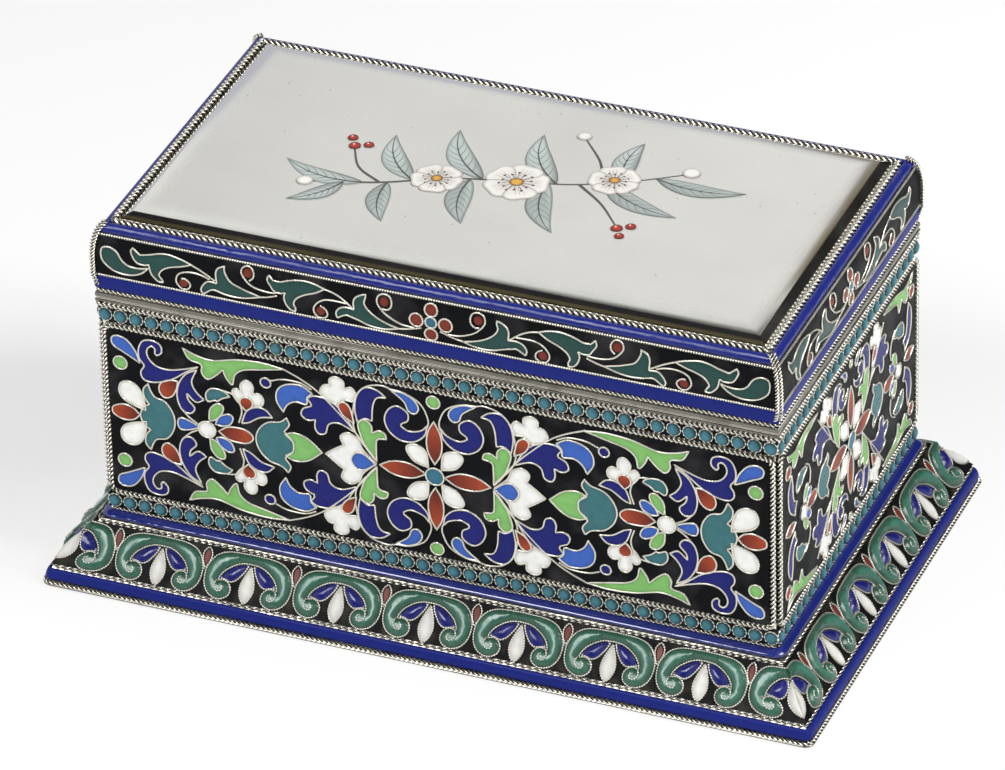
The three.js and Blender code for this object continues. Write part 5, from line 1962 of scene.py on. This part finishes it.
        for k in range(self.PETALS):
            a = turn + k * TURN / self.PETALS
            ahead, aside = np.array((math.cos(a), math.sin(a))), np.array((-math.sin(a), math.cos(a)))
            left, right = (middle + far * ahead + sign * half * aside for sign in (1, -1))
            self.stroke([*left, *right[::-1]], "petal_shade", "petal", fade, True)
            for lean in self.FOLD_LEANS:
                self.line(middle + fold * ahead + lean * fold * aside, self.FOLD_WIDTHS, "petal_shade")
        for k in range(self.STAMENS):
            a = turn + (k + 0.5) * TURN / self.STAMENS
            out = np.array((math.cos(a), math.sin(a))) * reach * self.STAMEN_REACH[k % 2]
            self.line(np.stack((middle, middle + 0.5 * out, middle + out)), [self.STAMEN_WIDTH] * 3, "ink")
            self.stroke(disc(*(middle + out), self.POLLEN_DOT * reach, self.DOT_SIDES), "ember", "pollen")
        self.stroke(disc(*middle, self.HEART * reach), "ember", "pollen")


class STAMPBOX_OT_stage(bpy.types.Operator):
    """Floor, cards, lamps and camera"""

    bl_idname = "stampbox.stage"
    bl_label = "Stage"

    # Camera: angles in degrees, places in mm, focal length in pixels of the frame
    VIEW = {"azimuth": 22.758, "elevation": 32.874, "roll": -1.35}
    TARGET = (0.191, -3.868, 25.946)
    DISTANCE = 1120.08
    FOCAL = 8409
    FRAME_WIDTH = 1005
    SENSOR = 36.0
    CLIP_START = 0.05
    # Floor, in metres: it glows for the camera, less so behind a slanted line, which leaves it darker to the
    # rear left as painted shade
    FLOOR_HALF = 3.0
    FLOOR_Z = -0.0002
    FLOOR_WHITE = (0.98, 0.98, 0.98, 1)
    FLOOR_SHADE_SLANT = 1.6
    FLOOR_SHADE_RAMP = (-0.06, 0.03)
    FLOOR_GLOW = (0.45, 0.9)
    # Strength of the world as light, and as seen by the camera or in a mirror
    WORLD = (0.45, 1.0)
    # Lamps, in metres and watts: place, width, power
    LAMPS = {"key": ((0.42, 0.05, 0.5), 0.3, 3.2), "fill": ((-0.2, -0.42, 0.5), 0.25, 2.7)}
    LAMP_AIM = (0, 0, 0.03)
    # Cards over the box, in metres: colour, near and far edge
    OVERHEAD_X = (-0.62, 0.14)
    OVERHEAD_Z = 0.6
    OVERHEAD = {
        "grey_card": ((104, 103, 100), 0.3, 0.42), "ceiling_card": ((36, 36, 40), -0.1, 0.3),
        "olive_card": ((78, 71, 50), -0.5, -0.1), "dark_card": ((26, 25, 24), -0.9, -0.5),
    }
    # Upright cards: colour, left and right edge, foot and top
    UPRIGHT = {
        "front_card": ((28, 26, 24), (-0.62, -0.9), (0.14, -0.9), 0.08, 0.6),
        "right_card": ((38, 36, 34), (0.0, 4.8), (4.2, 2.7), 0.0, 5.1),
        "brown_card": ((110, 86, 48), (-0.6, 4.9), (0.0, 4.8), 1.2, 5.1),
        "buff_card": ((206, 194, 164), (-1.1, 5.0), (-0.6, 4.9), 1.2, 5.1),
        "pale_wall": ((188, 190, 201), (-5.5, 5.0), (-1.1, 5.0), 0.0, 2.6),
    }
    GLOWING = "pale_wall"
    BLACK = (0, 0, 0, 1)

    def execute(self, context):
        self.floor()
        self.cards()
        self.world(context)
        self.lamps()
        self.camera(context)
        context.scene.view_settings.view_transform = "Standard"
        return {"FINISHED"}

    def floor(self):
        """A white floor, darker to the rear left as painted shade."""
        mesh = bpy.data.meshes.new("floor")
        corners = [(x * self.FLOOR_HALF, y * self.FLOOR_HALF, self.FLOOR_Z) for x, y in CORNERS]
        mesh.from_pydata(corners, [], [(0, 1, 2, 3)])
        material = bpy.data.materials.new("white_floor")
        material.use_nodes = True
        tree = material.node_tree
        tree.nodes.clear()
        matt = node(tree, "ShaderNodeBsdfDiffuse")
        matt.inputs["Color"].default_value = self.FLOOR_WHITE
        glow = node(tree, "ShaderNodeEmission")
        seen = node(tree, "ShaderNodeLightPath").outputs["Is Camera Ray"]
        mix = node(tree, "ShaderNodeMixShader")
        spot = node(tree, "ShaderNodeSeparateXYZ")
        tree.links.new(node(tree, "ShaderNodeTexCoord").outputs["Object"], spot.inputs[0])
        # Painted shade: the floor glows less behind a slanted line, to the rear left.
        slant = calc(tree, "MULTIPLY", spot.outputs["Y"], self.FLOOR_SHADE_SLANT)
        ahead = calc(tree, "SUBTRACT", spot.outputs["X"], slant)
        share = spread(tree, ahead, *self.FLOOR_SHADE_RAMP, *self.FLOOR_GLOW)
        feed(tree, mix.inputs[0], calc(tree, "MULTIPLY", seen, share))
        tree.links.new(matt.outputs[0], mix.inputs[1])
        tree.links.new(glow.outputs[0], mix.inputs[2])
        tree.links.new(mix.outputs[0], node(tree, "ShaderNodeOutputMaterial").inputs[0])
        mesh.materials.append(material)
        linked("floor", mesh)

    def cards(self):
        """Dark cards and a glowing wall that the silver mirrors."""
        (left, right), z = self.OVERHEAD_X, self.OVERHEAD_Z
        for name, (shade, near, far) in self.OVERHEAD.items():
            self.card(name, shade, ((left, near, z), (right, near, z), (right, far, z), (left, far, z)))
        for name, (shade, start, end, low, high) in self.UPRIGHT.items():
            self.card(name, shade, ((*start, low), (*end, low), (*end, high), (*start, high)))

    def card(self, name, shade, corners):
        """One card, out of the camera's sight; a glowing one takes no other light."""
        mesh = bpy.data.meshes.new(name)
        mesh.from_pydata(corners, [], [range(len(corners))])
        material = bpy.data.materials.new(name)
        material.use_nodes = True
        sockets = material.node_tree.nodes["Principled BSDF"].inputs
        glows = name == self.GLOWING
        tint = (*srgb(*shade), 1)
        sockets["Base Color"].default_value = self.BLACK if glows else tint
        sockets["Emission Color"].default_value = tint
        sockets["Emission Strength"].default_value = 1.0 if glows else 0.0
        sockets["Roughness"].default_value = 1.0
        sockets["Specular IOR Level"].default_value = 0.0
        mesh.materials.append(material)
        card = linked(name, mesh)
        card.visible_camera = False

    def world(self, context):
        """White all round, brighter to the eye than as a light."""
        world = bpy.data.worlds.new("studio")
        context.scene.world = world
        world.use_nodes = True
        tree = world.node_tree
        tree.nodes.clear()
        path = node(tree, "ShaderNodeLightPath")
        seen = calc(tree, "MAXIMUM", path.outputs["Is Camera Ray"], path.outputs["Is Transmission Ray"])
        seen = calc(tree, "MAXIMUM", seen, path.outputs["Is Glossy Ray"])
        back = node(tree, "ShaderNodeBackground")
        feed(tree, back.inputs["Strength"], spread(tree, seen, 0.0, 1.0, *self.WORLD))
        tree.links.new(back.outputs[0], node(tree, "ShaderNodeOutputWorld").inputs[0])

    def lamps(self):
        """Soft square lamps."""
        for name, (place, width, power) in self.LAMPS.items():
            data = bpy.data.lights.new(name, "AREA")
            data.size = width
            data.energy = power
            lamp = linked(name, data)
            lamp.location = place
            aim = Vector(self.LAMP_AIM) - Vector(place)
            lamp.rotation_euler = aim.to_track_quat("-Z", "Y").to_euler()

    def camera(self, context):
        """The camera that sees the box as it was photographed."""
        az, el, roll = (math.radians(self.VIEW[k]) for k in ("azimuth", "elevation", "roll"))
        back = Vector((math.sin(az) * math.cos(el), -math.cos(az) * math.cos(el), math.sin(el)))
        right = Vector((math.cos(az), math.sin(az), 0))
        up = back.cross(right)
        across = right * math.cos(roll) + up * math.sin(roll)
        above = up * math.cos(roll) - right * math.sin(roll)
        data = bpy.data.cameras.new("camera")
        data.sensor_fit = "HORIZONTAL"
        data.sensor_width = self.SENSOR
        data.lens = self.SENSOR * self.FOCAL / self.FRAME_WIDTH
        data.clip_start = self.CLIP_START
        camera = linked("camera", data)
        place = Vector(self.TARGET) * MM + back * self.DISTANCE * MM
        turn = Matrix((across, above, back)).transposed().to_4x4()
        camera.matrix_world = Matrix.Translation(place) @ turn
        context.scene.camera = camera


class STAMPBOX_PT_pieces(bpy.types.Panel):
    """Lists the steps of the stamp box"""

    bl_label = "Stamp box"
    bl_idname = "STAMPBOX_PT_pieces"
    bl_space_type = "VIEW_3D"
    bl_region_type = "UI"
    bl_category = "Stamp box"

    def draw(self, context):
        for step in STEPS:
            self.layout.operator(step.bl_idname)


STEPS = (
    STAMPBOX_OT_stage,
    STAMPBOX_OT_metal,
    STAMPBOX_OT_ropes,
    STAMPBOX_OT_bands,
    STAMPBOX_OT_beads,
    STAMPBOX_OT_panels,
    STAMPBOX_OT_frieze,
    STAMPBOX_OT_palmettes,
    STAMPBOX_OT_plaque,
)
CLASSES = (StampBoxSizes, StampBoxColours, *STEPS, STAMPBOX_PT_pieces)


def register():
    for made in CLASSES:
        bpy.utils.register_class(made)
    bpy.types.Scene.stamp_box_sizes = bpy.props.PointerProperty(type=StampBoxSizes)
    bpy.types.Scene.stamp_box_colours = bpy.props.PointerProperty(type=StampBoxColours)


def unregister():
    del bpy.types.Scene.stamp_box_sizes
    del bpy.types.Scene.stamp_box_colours
    for made in reversed(CLASSES):
        bpy.utils.unregister_class(made)


def main():
    register()
    for step in STEPS:
        group, name = step.bl_idname.split(".")
        getattr(getattr(bpy.ops, group), name)()


if __name__ == "__main__":
    main()
